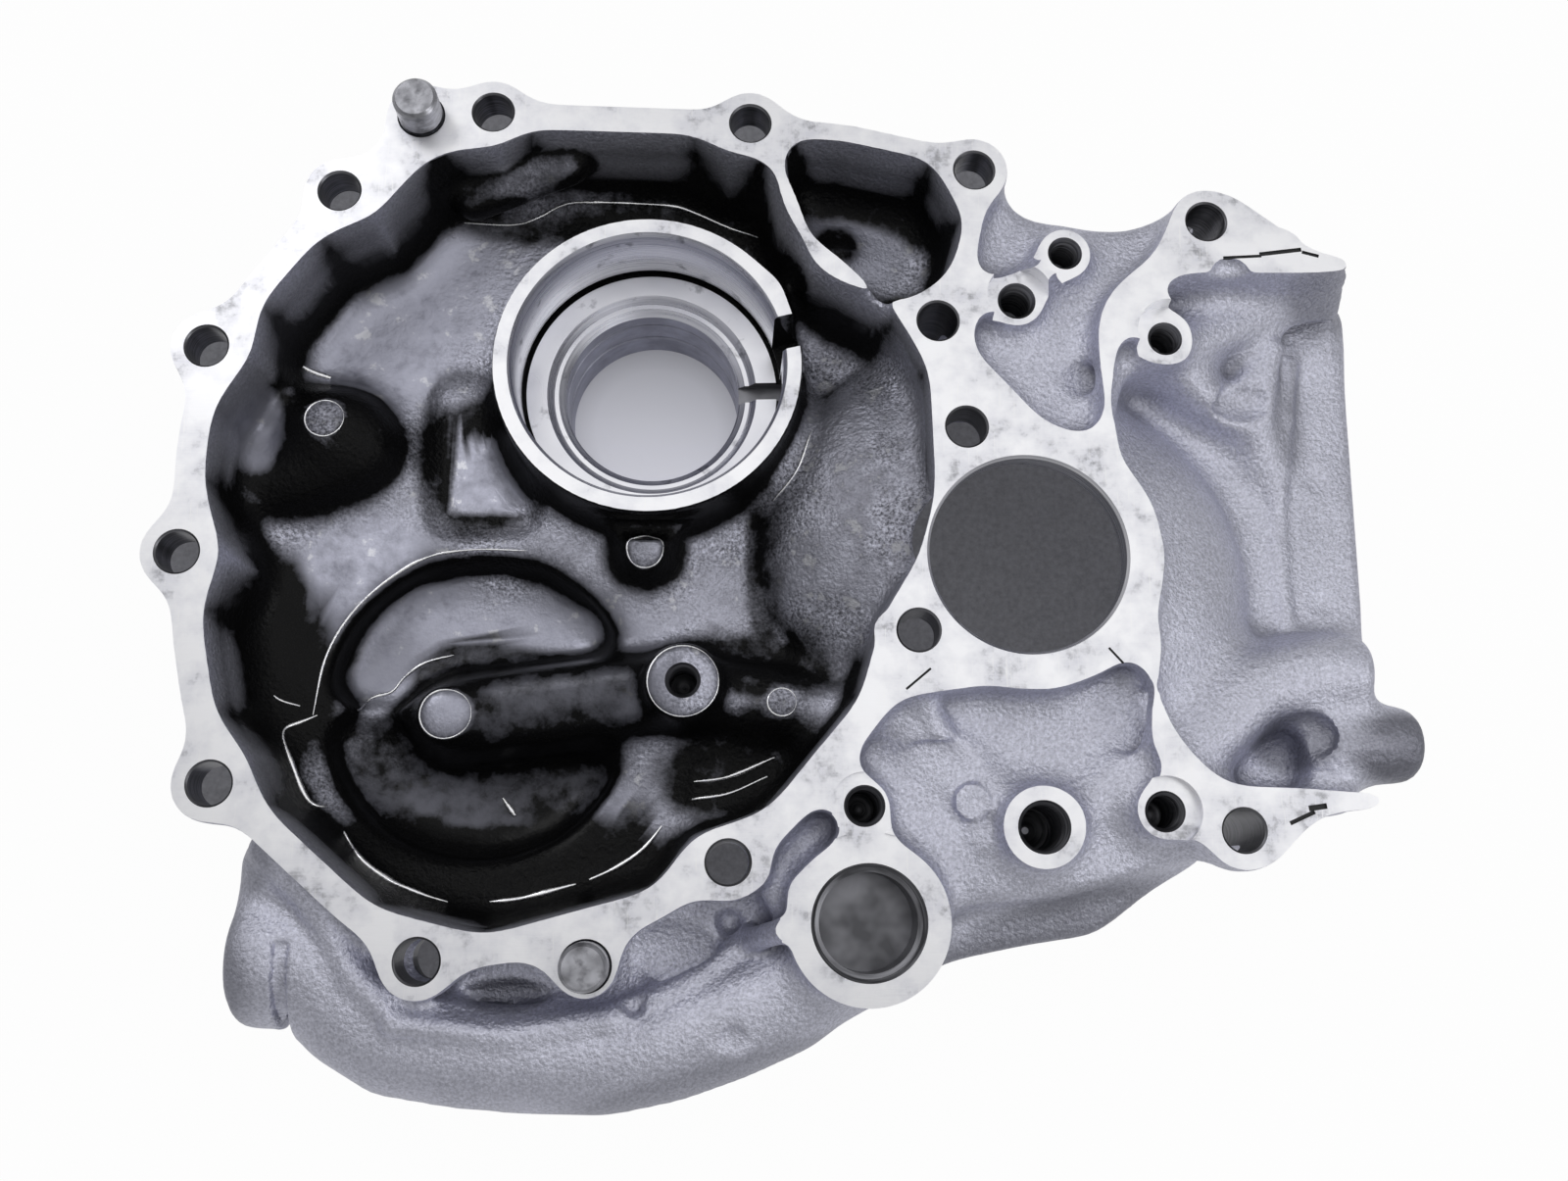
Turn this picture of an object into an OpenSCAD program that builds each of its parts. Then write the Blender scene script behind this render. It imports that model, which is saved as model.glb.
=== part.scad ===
// Pinion retainer housing: a die-cast aluminium gearbox cover with its two locating dowels.
// The origin is the centre of the shaft clearance bore on the machined joint face.
// Z points out of the joint face, so the casting lies below z = 0 and only the dowels stand above it.

/* [Overall] */
// Width of the bolt pattern, from the leftmost flange bolt to the rightmost
pattern_w = 227.1; // [217:0.1:240]
// Height of the bolt pattern, from the lowest flange bolt to the highest
pattern_h = 188.9; // [180:0.1:200]

/* [Joint face] */
// Thickness of the joint flange
flange_t = 9; // [7:0.5:11]
// Width of the sealing rim around the gear cavity
rim_w = 7; // [6:0.5:9]
// Width of the sealing rim around the breather pocket
pocket_rim_w = 5.4; // [4.5:0.2:7]
// Radius of the clearance holes for the flange bolts
bolt_hole_r = 4.5; // [4:0.1:5]
// Radius of the lobe around each flange bolt
lobe_r = 8.5; // [8:0.1:9.5]
// Fillet between a lobe and the rim beside it
lobe_fillet = 7; // [4:0.5:8]

/* [Casting walls] */
// Thickness of the cast side walls
wall_t = 4.5; // [3.5:0.5:6]
// Thickness of the cast floors
floor_t = 5; // [4:0.5:7]
// Draft of the cast pocket walls in degrees
draft = 5; // [2:0.5:6]
// Fillet between a pocket wall and its floor
floor_fillet = 7; // [4:0.5:8]

/* [Gear cavity] */
// Depth of the gear cavity floor below the joint face
cavity_d = 28; // [24:1:32]
// Depth of the breather pocket
pocket_d = 24; // [18:1:26]
// Radius of the round oil well at the cavity floor
well_r = 36.2; // [34:0.2:37]
// Depth of the oil well below the cavity floor
well_d = 12; // [8:0.5:14]

/* [Pinion bearing] */
// Radius of the pinion bearing seat
seat_r = 31; // [30:0.25:32]
// Depth of the top of the bearing ring below the joint face
seat_top_d = 7; // [5:0.5:9]
// Length of the bearing seat
seat_len = 21; // [18:0.5:22]
// Wall of the bearing ring at its top
ring_wall = 3.6; // [3:0.2:4.5]
// Radius of the pinion shaft bore behind the seat
pinion_r = 21; // [20:0.25:22]
// Depth of the end of the bearing boss below the joint face
boss_end_d = 56; // [54:1:60]
// Wall around the pinion shaft bore at the end of the boss
boss_wall = 7; // [6:0.5:9]
// Width of the open gap in the bearing ring
ring_gap_w = 8; // [6:0.5:10]
// Width of the oil slot through the bearing shoulder
oil_slot_w = 2.6; // [2:0.2:4]

/* [Shaft and oil bores] */
// Radius of the shaft clearance bore
shaft_r = 21.8; // [21:0.1:22.5]
// Length of the machined land in the shaft bore
shaft_land = 3.5; // [3:0.5:6]
// Radial width of the joint face around the shaft bore
shaft_face_w = 8.8; // [8:0.2:10]
// Radius of the oil port bore
port_r = 11.4; // [11:0.1:12]
// Radial width of the machined face around the oil port
port_face_w = 6; // [5:0.25:7]
// Step from the joint face down to the machined pads outside it
pad_step = 1; // [0.5:0.25:2]

/* [Dowels] */
// Radius of the locating dowels and of their holes
dowel_r = 5; // [4.5:0.25:5.5]
// Depth of the dowel holes
dowel_hole_d = 7; // [6:0.5:8]
// Height of the upper dowel above the joint face
upper_dowel_h = 8; // [6:0.5:10]
// Height of the lower dowel above the joint face
lower_dowel_h = 6; // [5:0.5:10]
// Chamfer on the end of a dowel
dowel_chamfer = 0.8; // [0.5:0.1:1.2]
// Width of the groove around a dowel at the joint face
dowel_groove_w = 1; // [0.8:0.1:1.2]
// Depth of the groove around a dowel
dowel_groove_d = 0.8; // [0.6:0.1:1]

/* [Tapped pads] */
// Radius of the small tapped holes
small_tap_r = 3.1; // [2.5:0.1:3.4]
// Depth of the small tapped holes below their pads
small_tap_len = 12; // [8:1:13]
// Radius of the medium tapped holes
medium_tap_r = 3.5; // [3:0.1:4]
// Depth of the medium tapped holes below their pads
medium_tap_len = 14; // [10:1:16]
// Radius of the large tapped hole
large_tap_r = 4.8; // [4:0.1:5.2]
// Depth of the large tapped hole below its pad
large_tap_len = 18; // [14:1:20]
// Radial width of the machined face around a medium tapped hole
pad_face_w = 2.8; // [2.4:0.2:3.4]
// Radial width of the machined face around the large tapped hole
large_pad_face_w = 4.3; // [3.6:0.1:5]
// Depth of the pair of pads on the upper web
upper_pad_d = 4; // [3:0.5:5]
// Depth of the square boss in the side bay
bay_boss_d = 5; // [4:0.5:7]
// Width of the square boss in the side bay
bay_boss_w = 13; // [12:0.5:14]

/* [Forms in the cavity] */
// Depth of the machined stop boss beside the oil well
stop_d = 10; // [8:0.5:12]
// Radius of the stop boss
stop_r = 9.1; // [8:0.1:10]
// Depth of the top of the hub in the oil well
hub_d = 22; // [20:0.5:25]
// Radius of the hub in the oil well
hub_r = 6.6; // [5.5:0.2:8]
// Depth of the top of the cone on the cavity floor
cone_d = 19; // [17:0.5:21]
// Depth of the top of the swelling at the left-hand wall
swell_d = 16; // [14:0.5:19]
// Depth of the recess below the cavity floor
recess_d = 4; // [2:0.5:4]
// Depth of the crown of the dome around the shaft bore
dome_top_d = 7.5; // [6:0.5:9]

/* [Side bay and webs] */
// Depth of the side bay floor below the joint face
bay_d = 26; // [22:1:28]
// Depth of the web between the rim and the side bay
upper_web_d = 8; // [6:0.5:8.5]
// Depth of the web below the shaft bore
lower_web_d = 9; // [7:0.5:11]
// Depth of the thin skirt below the lower web
skirt_d = 16; // [14:1:18]
// Depth of the web between the cavity shell and the oil duct
duct_web_d = 18; // [16:1:22]
// Width of the large fillet from the upper arm to the side bay floor
arm_fillet_w = 18; // [10:1:20]
// Outer radius of the tube that curves out of the side bay
tube_r = 9.4; // [8:0.2:10]
// Outer radius of the stub beside that tube
stub_r = 9; // [8:0.2:9.6]

/* [Oil duct] */
// Outer radius of the oil duct along the lower edge
duct_r = 14.5; // [13:0.5:15.5]
// Wall of the oil duct
duct_wall = 4; // [3.5:0.25:5]
// Depth of the axis of the oil duct below the joint face
duct_d = 24; // [22:1:26]

/* [Back] */
// Thickness of the stiffening ribs on the back
rib_t = 5; // [4:0.5:7]
// Depth of the lower edge of the long rib behind the bearing boss
rib_d = 48; // [44:1:52]
// Depth of the lower edge of the rib behind the lower web
lower_rib_d = 42; // [40:1:48]
// Height of the short ribs on the back of the cavity floor
short_rib_h = 7; // [4:0.5:9]

/* [Hidden] */
$fn = 64;
eps = 0.01;
over = 1;
arc_steps = 2;

// Every place is drawn at these two sizes of the bolt pattern and spread with it
drawn_w = 227.1;
drawn_h = 188.9;
function put(p) = concat([p.x * pattern_w / drawn_w, p.y * pattern_h / drawn_h], len(p) > 2 ? [p.z] : []);
function spread(v) = [for (p = v) put(p)];
function sunk(p, d) = [p.x, p.y, -d];

pinion_at = put([-84.3, 45.4]);
port_at = put([-35.8, -78.7]);
well_at = put([-122.5, -30.4]);
upper_dowel_at = put([-136.7, 101.4]);
lower_dowel_at = put([-94.1, -87.2]);
lower_dowel_lobe_r = 7.2;
stop_at = put([-75.4, -27]);
hub_at = put([-129.4, -33.2]);
cone_at = put([-84.8, 4.4]);
large_tap_at = put([1.7, -59]);
skirt_tap_at = put([27.7, -55.7]);
port_tap_at = put([-36.6, -54.7]);
upper_taps = spread([[11.8, 72.5], [0.1, 60.5]]);
bay_boss_at = put([34.5, 52.3]);
drain_at = put([-29.2, 77.5]);
dome_at = put([-12, 9]);
dome_r = 47;
dome_core_r = dome_r - wall_t - 3;
bulge_at = put([6, -4]);
bulge_r = 51;
bulge_top_d = 5;
tube_end = put([81.8, -23]);
stub_end = put([92.8, -39.4]);
hose_end = put([-170.8, -86.5]);

// Discs left by the ejector pins on the plate of the side bay
plate_discs = spread([[76.6, 25.1], [75.1, -4.7]]);
disc_r = 2.6;

// Swelling at the left-hand wall with its spur and its disc
swell = spread([[-159, 33], [-154, 30]]);
spur = spread([[-172, 22], [-158, 26]]);
swell_disc_at = put([-158.5, 34]);
swell_disc_r = 4.7;

// Arm from the stop boss to the wall, with its disc
wall_arm = spread([[-72, -28, -17], [-46, -32, -15.5]]);
arm_disc_at = put([-53.4, -31]);
arm_disc_r = 3.2;

// Cones on the floors of the cavity and of the pocket: radius at the top and growth down to the foot
cone_r = 4.6;
cone_flare = 4.4;
pocket_cone_at = put([-39.3, 80.5]);
pocket_cone_r = 2.6;
pocket_cone_flare = 2.4;
pocket_cone_h = 4;

// Widths at the foot of the swelling, of its spur, of the arm over the well and of its far end
swell_w = 13;
spur_w = 10;
arm_w = 11.5;
wall_arm_w = 9;

// Directions from the pinion bore to the gap in the bearing ring and to the oil slot
ring_gap_turn = 14;
oil_slot_turn = 2;
bore_chamfer = 1.5;
shoulder_chamfer = 3.6;

// Feet of the fins below the stop boss, and the run of a fin
first_fin = put([-73, -45]);
fin_run = [19.4, 4.8];
fin_pitch = 3.1;
fin_t = 1.3;

// Ridges of the side bay: start, end and width of each
bay_ridges = [
    [[40, 54, -8], [66, 66, -15], 7],
    [[44, 46, -13], [61, 37, -19], 6],
    [[62, 62, -17], [64, 28, -22], 6]
];

// Bend of the tube in the side bay, from its outer end to the bay wall
tube_bend = spread([[70, -23], [54, -27], [40, -40]]);

// Ridges of the lower web: start, end and width of each
web_ridges = [
    [[-8, -51, -6.5], [-26, -38, -5], 6],
    [[-16, -64, -7], [0, -66, -9], 8],
    [[6, -60, -6], [22, -46, -5], 6]
];

// Bead from the rim down to the oil duct
bead = spread([[-166, -66, -11], [-150, -73, -11], [-141, -88, -12]]);
bead_r = 5.5;

// Ends of the ribs on the back, which start at the bearing boss
long_rib_end = put([78, 48]);
short_rib_ends = spread([[-165, 20], [-100, 92], [-110, -20]]);
lower_rib = spread([[-50, -30], [24, -36]]);
tube_rib = spread([[20, -35.7], [76, -40]]);

// Flange bolts, anticlockwise from the top left corner
bolts = spread([
    [-120.4, 102.7], [-154, 82.4], [-180.5, 44.9], [-183, -1.5], [-172.3, -50.5],
    [-128.1, -86.2], [-65.2, -66.4], [-24.5, -17.2], [43.9, -59.7], [-12.9, 28.8],
    [-18.8, 53.7], [44.1, 79.2], [-9.6, 90.9], [-61.4, 101.4]
]);

// Corners of the gear cavity at the joint face, anticlockwise, each with its radius
cavity_v = spread([
    [-57.6, 92.8, 2], [-66, 93.4, 12], [-74, 98, 12], [-112, 98.4, 10], [-119, 93.8, 10],
    [-133.5, 92.6, 14], [-145.6, 76.6, 5], [-157.5, 71, 14], [-169.4, 54.5, 12], [-170.4, 43, 8],
    [-177.6, 31, 14], [-178.8, 14, 30], [-173.2, -1.5, 10], [-176.8, -14, 18], [-172, -36, 16],
    [-165, -44.5, 14], [-160.5, -55, 18], [-137, -75.5, 16], [-115, -81, 16], [-80.5, -71.8, 9],
    [-72.5, -60.6, 9], [-57.5, -56, 14], [-37.5, -31.8, 12], [-32.6, -14.5, 12], [-24.4, -1, 16],
    [-20.3, 14, 28], [-21.2, 42, 12], [-28.5, 55.8, 12], [-46.4, 65.2, 12], [-54.2, 80, 30]
]);

// Corners of the outer shell around the cavity and the pocket, inside its wall
core_v = spread([
    [-19.4, 92.6, 6], [-41, 97.1, 30], [-112, 98.5, 12], [-134, 92.6, 14], [-147.6, 76.6, 16],
    [-158, 71.4, 20], [-169.8, 54.5, 20], [-177.6, 31, 40], [-178.8, 14, 50], [-176.8, -14, 40],
    [-172, -36, 24], [-160.5, -55.6, 20], [-137, -75.6, 20], [-115, -81, 20], [-80, -72, 12],
    [-71.5, -60.6, 9], [-57.3, -56.2, 14], [-37.8, -31.8, 30], [-24.2, -2, 30], [-20.3, 14, 40],
    [-21.2, 42, 16], [-15.2, 62, 40], [-12.2, 80, 14]
]);

// Corners of the breather pocket at the joint face
pocket_v = spread([
    [-55.4, 97.8, 2.5], [-46.5, 73.5, 10], [-27, 57.4, 3.5], [-16.2, 64.8, 8],
    [-12.4, 79, 7], [-19.4, 92.6, 5], [-40, 97, 12]
]);

// Strip of the joint face from the shaft bore up to the right-hand corner
upper_arm = spread([
    [16.9, 16], [21.2, 16], [21.2, 37], [22.6, 53.5], [24.2, 58.2], [27.8, 61.7], [33.2, 64.4],
    [38.5, 66.2], [78.7, 66.8], [78.7, 71.2], [68.8, 72.7], [50.5, 86.4], [44, 87], [36.5, 82],
    [32, 71.9], [22.5, 63.3], [18.6, 58], [16.9, 51]
]);

// Strip of the joint face from the shaft bore down to the lower right-hand corner
lower_arm = spread([
    [24.4, -16], [24.5, -42.4], [26.4, -44.2], [35.1, -47.9], [38, -52.5], [38, -62],
    [50.6, -66.6], [56.4, -60.2], [61, -56.7], [76.2, -55.5], [76.6, -51.1], [43.4, -50.1],
    [39.6, -48.9], [35, -44.6], [30, -38], [28.5, -31], [28.5, -16]
]);

// Joint face between the cavity rim and the shaft bore
shaft_link = spread([[-38, -30], [-27.5, -31.8], [-8, -29], [10, 24], [-4, 40], [-24, 60]]);

// Floor of the side bay, with its open edge on the right
bay_floor = spread([
    [16, -44], [28, -58], [60, -58], [82, -50], [86.5, -8], [87, 46], [87.5, 71], [36, 70],
    [18, 62]
]);

// Part of the side bay that the bulge around the shaft bore may fill
bulge_area = spread([[20, -60], [90, -60], [90, 60], [18.9, 60], [18.9, 20], [26, 0]]);

// Recess in the cavity floor, each corner with its radius
recess_v = spread([[-138, 9, 5], [-109.5, 9, 5], [-109.5, 50, 5], [-138, 50, 5]]);

// Web between the rim and the side bay, out to the cast edge of the housing
upper_web = spread([
    [-18, 88], [-1, 88.5], [3, 84.6], [10.8, 82.2], [20, 81.4], [28.5, 81.6], [36, 84], [44, 82],
    [30, 60], [22, 30], [0, 28], [-18, 44]
]);

// Web below the shaft bore
lower_web = spread([
    [-58, -74], [-48, -50], [-30, -28], [22, -24], [28, -44], [44, -56], [36, -66], [8, -74],
    [-20, -76], [-46, -92]
]);

// Thin skirt that closes the lower right edge
skirt = spread([
    [-40, -60], [40, -48], [42, -64.5], [29.4, -72], [20, -79.3], [15.2, -82.3], [0, -84.5],
    [-20, -88.5], [-30, -96]
]);

// Web between the cavity shell and the oil duct
duct_web = spread([
    [-150, -76], [-140, -66], [-58, -50], [-44, -66], [-42, -84], [-60, -96], [-78, -102],
    [-106, -105], [-134, -101], [-150, -88]
]);

// Path of the oil duct from the hose stub to the oil port
duct_path = spread([
    [-164, -86.5], [-159, -86.5], [-152, -90], [-145, -97], [-136, -102.6], [-122, -104.8], [-106, -106.2],
    [-91, -106.6], [-78, -104], [-65, -99.6], [-53, -94.5], [-43, -87]
]);

seat_end_d = seat_top_d + seat_len;
shell_d = cavity_d + floor_t;
bay_back_d = bay_d + floor_t;
well_back_d = cavity_d + well_d + floor_t;
ring_r = seat_r + ring_wall;
boss_r = pinion_r + boss_wall;
large_pad_r = large_tap_r + large_pad_face_w;
medium_pad_r = medium_tap_r + pad_face_w;
low_pad_d = pad_step + 1;
tap_end = 2;
port_face_r = port_r + port_face_w;
shaft_face_r = shaft_r + shaft_face_w;

function unit(a) = a / norm(a);
function flat(p) = [p.x, p.y];
function inward(a, b) = let (u = unit(flat(b) - flat(a))) [-u.y, u.x];
function at(v, i) = v[(i + len(v)) % len(v)];

// An outline moved inwards by d, with its corner radii kept concentric
function inset(v, d) = [
    for (i = [0 : len(v) - 1])
        let (
            n = inward(at(v, i - 1), v[i]),
            m = inward(v[i], at(v, i + 1)),
            p = flat(v[i]) + (n + m) * d / (1 + n * m),
            turn = n.x * m.y - n.y * m.x
        )
        [p.x, p.y, max(v[i].z + (turn > 0 ? -d : d), 0.8)]
];

// The points of an arc that rounds the corner b between a and c
function corner(a, b, c, steps) =
    let (
        u = unit(flat(a) - flat(b)),
        w = unit(flat(c) - flat(b)),
        half = acos(max(min(u * w, 1), -1)) / 2,
        reach = min(norm(flat(a) - flat(b)), norm(flat(c) - flat(b))) * 0.48,
        t = min(b.z / tan(half), reach),
        r = t * tan(half),
        centre = flat(b) + unit(u + w) * r / sin(half),
        from = flat(b) + u * t - centre,
        to = flat(b) + w * t - centre,
        a0 = atan2(from.y, from.x),
        turn = atan2(to.y, to.x) - a0,
        sweep = turn > 180 ? turn - 360 : turn < -180 ? turn + 360 : turn
    )
    [for (k = [0 : steps]) centre + r * [cos(a0 + sweep * k / steps), sin(a0 + sweep * k / steps)]];

function rounded(v, steps) = [
    for (i = [0 : len(v) - 1]) each corner(at(v, i - 1), v[i], at(v, i + 1), steps)
];

function middle(points) = [for (k = [0 : 2]) sum([for (p = points) p[k]]) / len(points)];
function sum(v) = v * [for (x = v) 1];
function lifted(points, z) = [for (p = points) [p.x, p.y, z]];

// A solid through a stack of rings that all have the same number of points
module loft(rings) {
    n = len(rings[0]);
    last = len(rings) - 1;
    centre = n * len(rings);
    sides = [
        for (k = [0 : last - 1], i = [0 : n - 1])
            let (j = (i + 1) % n, a = k * n, b = a + n)
            each [[a + i, b + j, b + i], [a + i, a + j, b + j]]
    ];
    start = [for (i = [0 : n - 1]) [(i + 1) % n, i, centre]];
    end = [for (i = [0 : n - 1]) [last * n + i, last * n + (i + 1) % n, centre + 1]];
    polyhedron(
        points = concat([for (r = rings) each r], [middle(rings[0]), middle(rings[last])]),
        faces = concat(start, end, sides),
        convexity = 8
    );
}

// A drafted pocket or core with a filleted floor, open above the joint face
module drafted(v, depth, fillet, steps = arc_steps) {
    wall_d = depth - fillet;
    slope = tan(draft);
    loft(concat(
        [lifted(rounded(inset(v, -slope * over), steps), over)],
        [
            for (angle = [0, 30, 60, 90])
                let (
                    in = slope * wall_d + fillet * (1 - cos(angle)),
                    z = -wall_d - fillet * sin(angle)
                )
                lifted(rounded(inset(v, in), steps), z)
        ]
    ));
}

// A drafted mound along the line from a to b, where z is the height of its crown
module mound(a, b, r, low) {
    heading = atan2(b.y - a.y, b.x - a.x);
    function ring(k, r) = [
        for (end = [0, 1], t = [-90 : 45 : 90])
            let (p = end == 0 ? b : a, angle = heading + t + 180 * end)
            [p.x + r * cos(angle), p.y + r * sin(angle), -low + (p.z + low) * k]
    ];
    loft([ring(1, r * 0.42), ring(0.82, r * 0.72), ring(0.45, r * 0.92), ring(0, r * 1.04)]);
}

// A boss from depth low up to depth high, wider at its foot
module boss(place, r, high, low, foot = 0) {
    translate([place.x, place.y, -low]) cylinder(r1 = r + foot, r2 = r, h = low - high);
}

// A bore from depth high down to depth low
module bore(place, r, high, low) {
    translate([place.x, place.y, -low]) cylinder(r = r, h = low - high);
}

// A slab of an outline between two depths
module slab(points, high, low) {
    translate([0, 0, -low]) linear_extrude(low - high) polygon(points);
}

// A straight rib from a to b between two depths
module rib(a, b, high, low, t = rib_t) {
    d = b - a;
    translate([a.x, a.y, -low])
        rotate(atan2(d.y, d.x))
        translate([0, -t / 2, 0])
        cube([norm(d), t, low - high]);
}

// A boss that is deep enough for its tapped hole
module tap_boss(place, r, high, tap_len, foot = 2) {
    boss(place, r, high, high + tap_len + tap_end, foot);
}

// The joint face, filled in, with its lobes blended into the rims
module flange_outline() {
    offset(r = -lobe_fillet, $fn = 18) offset(r = lobe_fillet, $fn = 18) {
        offset(delta = rim_w) polygon(rounded(cavity_v, arc_steps));
        offset(delta = pocket_rim_w) polygon(rounded(pocket_v, arc_steps));
        for (p = bolts) translate(p) circle(lobe_r, $fn = 20);
        translate(upper_dowel_at) circle(lobe_r, $fn = 20);
        translate(lower_dowel_at) circle(lower_dowel_lobe_r, $fn = 20);
        circle(shaft_face_r);
        polygon(shaft_link);
    }
    offset(r = -2, $fn = 13) offset(r = 2, $fn = 13) {
        circle(shaft_face_r);
        polygon(upper_arm);
        polygon(lower_arm);
        translate(bolts[11]) circle(lobe_r, $fn = 20);
        translate(bolts[8]) circle(lobe_r + 0.5, $fn = 20);
    }
}

// The joint flange
module flange() {
    translate([0, 0, -flange_t]) linear_extrude(flange_t) flange_outline();
}

// A dome with its crown at one depth and its foot at another
module dome(place, foot_r, top_d, foot_d) {
    rise = foot_d - top_d;
    translate([place.x, place.y, 0])
        rotate_extrude()
        polygon(concat(
            [[0, -foot_d]],
            [for (t = [0 : 15 : 90]) [foot_r * cos(t), -foot_d + rise * sin(t)]]
        ));
}

// The cavity shell and its oil well, still solid inside
module shells() {
    translate([0, 0, -3]) drafted(inset(core_v, -wall_t), shell_d - 3, floor_fillet);
    translate([well_at.x, well_at.y, -well_back_d])
        cylinder(r1 = well_r - 3, r2 = well_r + wall_t, h = well_d + floor_t);
}

// The pad behind the recess in the cavity floor
module recess_back() {
    slab(rounded(inset(recess_v, -wall_t / 2), arc_steps), shell_d - 1.5, shell_d + recess_d);
}

// The bearing boss behind the cavity floor
module bearing_boss_back() {
    translate([pinion_at.x, pinion_at.y, 0])
        rotate_extrude()
        polygon([
            [0, -boss_end_d], [boss_r, -boss_end_d], [boss_r + 1, -boss_end_d + 14],
            [ring_r + 3, -shell_d - 3], [ring_r + 6, -shell_d + 1], [0, -shell_d + 1]
        ]);
}

// The bearing ring that stands in the gear cavity
module bearing_ring() {
    translate([pinion_at.x, pinion_at.y, 0])
        rotate_extrude()
        polygon([
            [0, -cavity_d - 1], [ring_r + 4, -cavity_d - 1], [ring_r + 3.2, -cavity_d + 0.6],
            [ring_r + 2, -cavity_d + 2.6], [ring_r + 1, -cavity_d + 6], [ring_r, -seat_top_d],
            [0, -seat_top_d]
        ]);
}

// A round bar that follows the path of the oil duct
module duct_sweep(r, sides) {
    n = len(duct_path);
    loft([
        for (i = [0 : n - 1])
            let (
                p = duct_path[i],
                d = unit(duct_path[min(i + 1, n - 1)] - duct_path[max(i - 1, 0)]),
                side = [d.y, -d.x, 0]
            )
            [
                for (k = [0 : sides - 1])
                    let (a = 360 * k / sides)
                    [p.x, p.y, -duct_d] + r * (cos(a) * side + [0, 0, sin(a)])
            ]
    ]);
}

// Hose stub, duct and ring of the oil port
module duct_outer() {
    duct_sweep(duct_r, 20);
    translate([hose_end.x, hose_end.y, -duct_d])
        rotate([0, 90, 0]) cylinder(r = duct_r + 0.7, h = duct_path[0].x - hose_end.x + 0.8);
    port_pad();
    for (k = [0, 1]) mound(bead[k], bead[k + 1], bead_r, duct_d + 2);
}

// The ring of the oil port, with the tab for its tapped hole
module port_pad() {
    slab_d = pad_step + medium_tap_len + tap_end;
    translate([0, 0, -slab_d]) linear_extrude(slab_d - pad_step)
        offset(r = -lobe_fillet / 2, $fn = 18) offset(r = lobe_fillet / 2, $fn = 18) {
            translate(port_at) circle(port_face_r, $fn = 48);
            translate(port_tap_at) circle(medium_pad_r - 0.4, $fn = 24);
        }
    boss(port_at, port_face_r - 0.4, slab_d - 4, duct_d + 12);
}

// The hollow of the duct, with a narrower mouth in the hose stub
module duct_inner() {
    duct_sweep(duct_r - duct_wall, 16);
    translate([hose_end.x - over, hose_end.y, -duct_d])
        rotate([0, 90, 0])
        cylinder(r = duct_r - duct_wall - 1.2, h = duct_path[0].x - hose_end.x + 2 * over);
}

// The large fillet from the upper arm down to the side bay floor
module arm_fillet() {
    arm = upper_arm[7];
    top_d = pad_step + 3;
    translate([arm.x + 2, 0, 0])
        rotate([90, 0, 90])
        linear_extrude(upper_arm[8].x + 2 - arm.x)
        polygon(concat(
            [[arm.y + 3, -bay_d - over], [arm.y + 3, -top_d]],
            [
                for (t = [0 : 15 : 90])
                    [arm.y + 0.4 - arm_fillet_w * (1 - cos(t)), -top_d - (bay_d - top_d) * sin(t)]
            ],
            [[arm.y - arm_fillet_w, -bay_d - over]]
        ));
}

// Walls, floor and bulge of the side bay
module bay() {
    slab(bay_floor, bay_d, bay_back_d);
    slab(upper_arm, over, bay_back_d - over);
    slab(lower_arm, over, bay_back_d - over);
    intersection() {
        dome(bulge_at, bulge_r, bulge_top_d, bay_d + 0.5);
        slab(bulge_area, 0, bay_back_d + 5);
    }
}

// A ridge from a list of its start, its end and its width
module ridge(row, low) {
    mound(put(row[0]), put(row[1]), row[2], low);
}

// The boss, ridges, tube and stub that rise from the bay floor
module bay_forms() {
    arm_fillet();
    w = bay_boss_w / 2;
    square = [for (q = [[-1, -1], [1, -1], [1, 1], [-1, 1]]) [q.x * w, q.y * w, w / 2]];
    translate(bay_boss_at) slab(rounded(square, 4), bay_boss_d, bay_d + 1);
    for (p = plate_discs) boss(p, disc_r, bay_d - 0.5, bay_d + 1);
    for (row = bay_ridges) ridge(row, bay_d + 1);
    bay_tube();
    bay_stub();
}

// The tube that curves out of the side bay
module bay_tube() {
    axis_d = bay_d - 5.5;
    start_x = tube_bend[0].x - 1;
    translate([start_x, tube_end.y, -axis_d])
        rotate([0, 90, 0]) cylinder(r = tube_r, h = tube_end.x - start_x);
    for (k = [0, 1])
        mound(
            sunk(tube_bend[k], axis_d - tube_r + (k == 0 ? 0.4 : 0)),
            sunk(tube_bend[k + 1], axis_d - tube_r), tube_r + 1, bay_d + 2
        );
}

// The stub beside that tube, with a flat on its side
module bay_stub() {
    axis_d = bay_d - 4;
    start_x = tube_bend[0].x - 4;
    difference() {
        translate([start_x, stub_end.y, -axis_d])
            rotate([0, 90, 0]) cylinder(r = stub_r, h = stub_end.x - start_x);
        translate([start_x + 8, stub_end.y + stub_r / 2, stub_r - 1.6 - axis_d])
            cube([stub_end.x - start_x, stub_r, stub_r]);
    }
}

// Webs outside the rims, with the skirt on the lower right
module webs() {
    slab(upper_web, upper_web_d, upper_web_d + floor_t);
    slab(lower_web, lower_web_d, lower_web_d + floor_t);
    slab(skirt, skirt_d, skirt_d + floor_t);
    slab(duct_web, duct_web_d, duct_web_d + floor_t);
    difference() {
        slab(upper_web, upper_web_d + over, bay_back_d);
        slab([for (p = upper_web) p * 0.9 + [1, 0.4]], upper_web_d, bay_back_d + over);
    }
}

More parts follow.
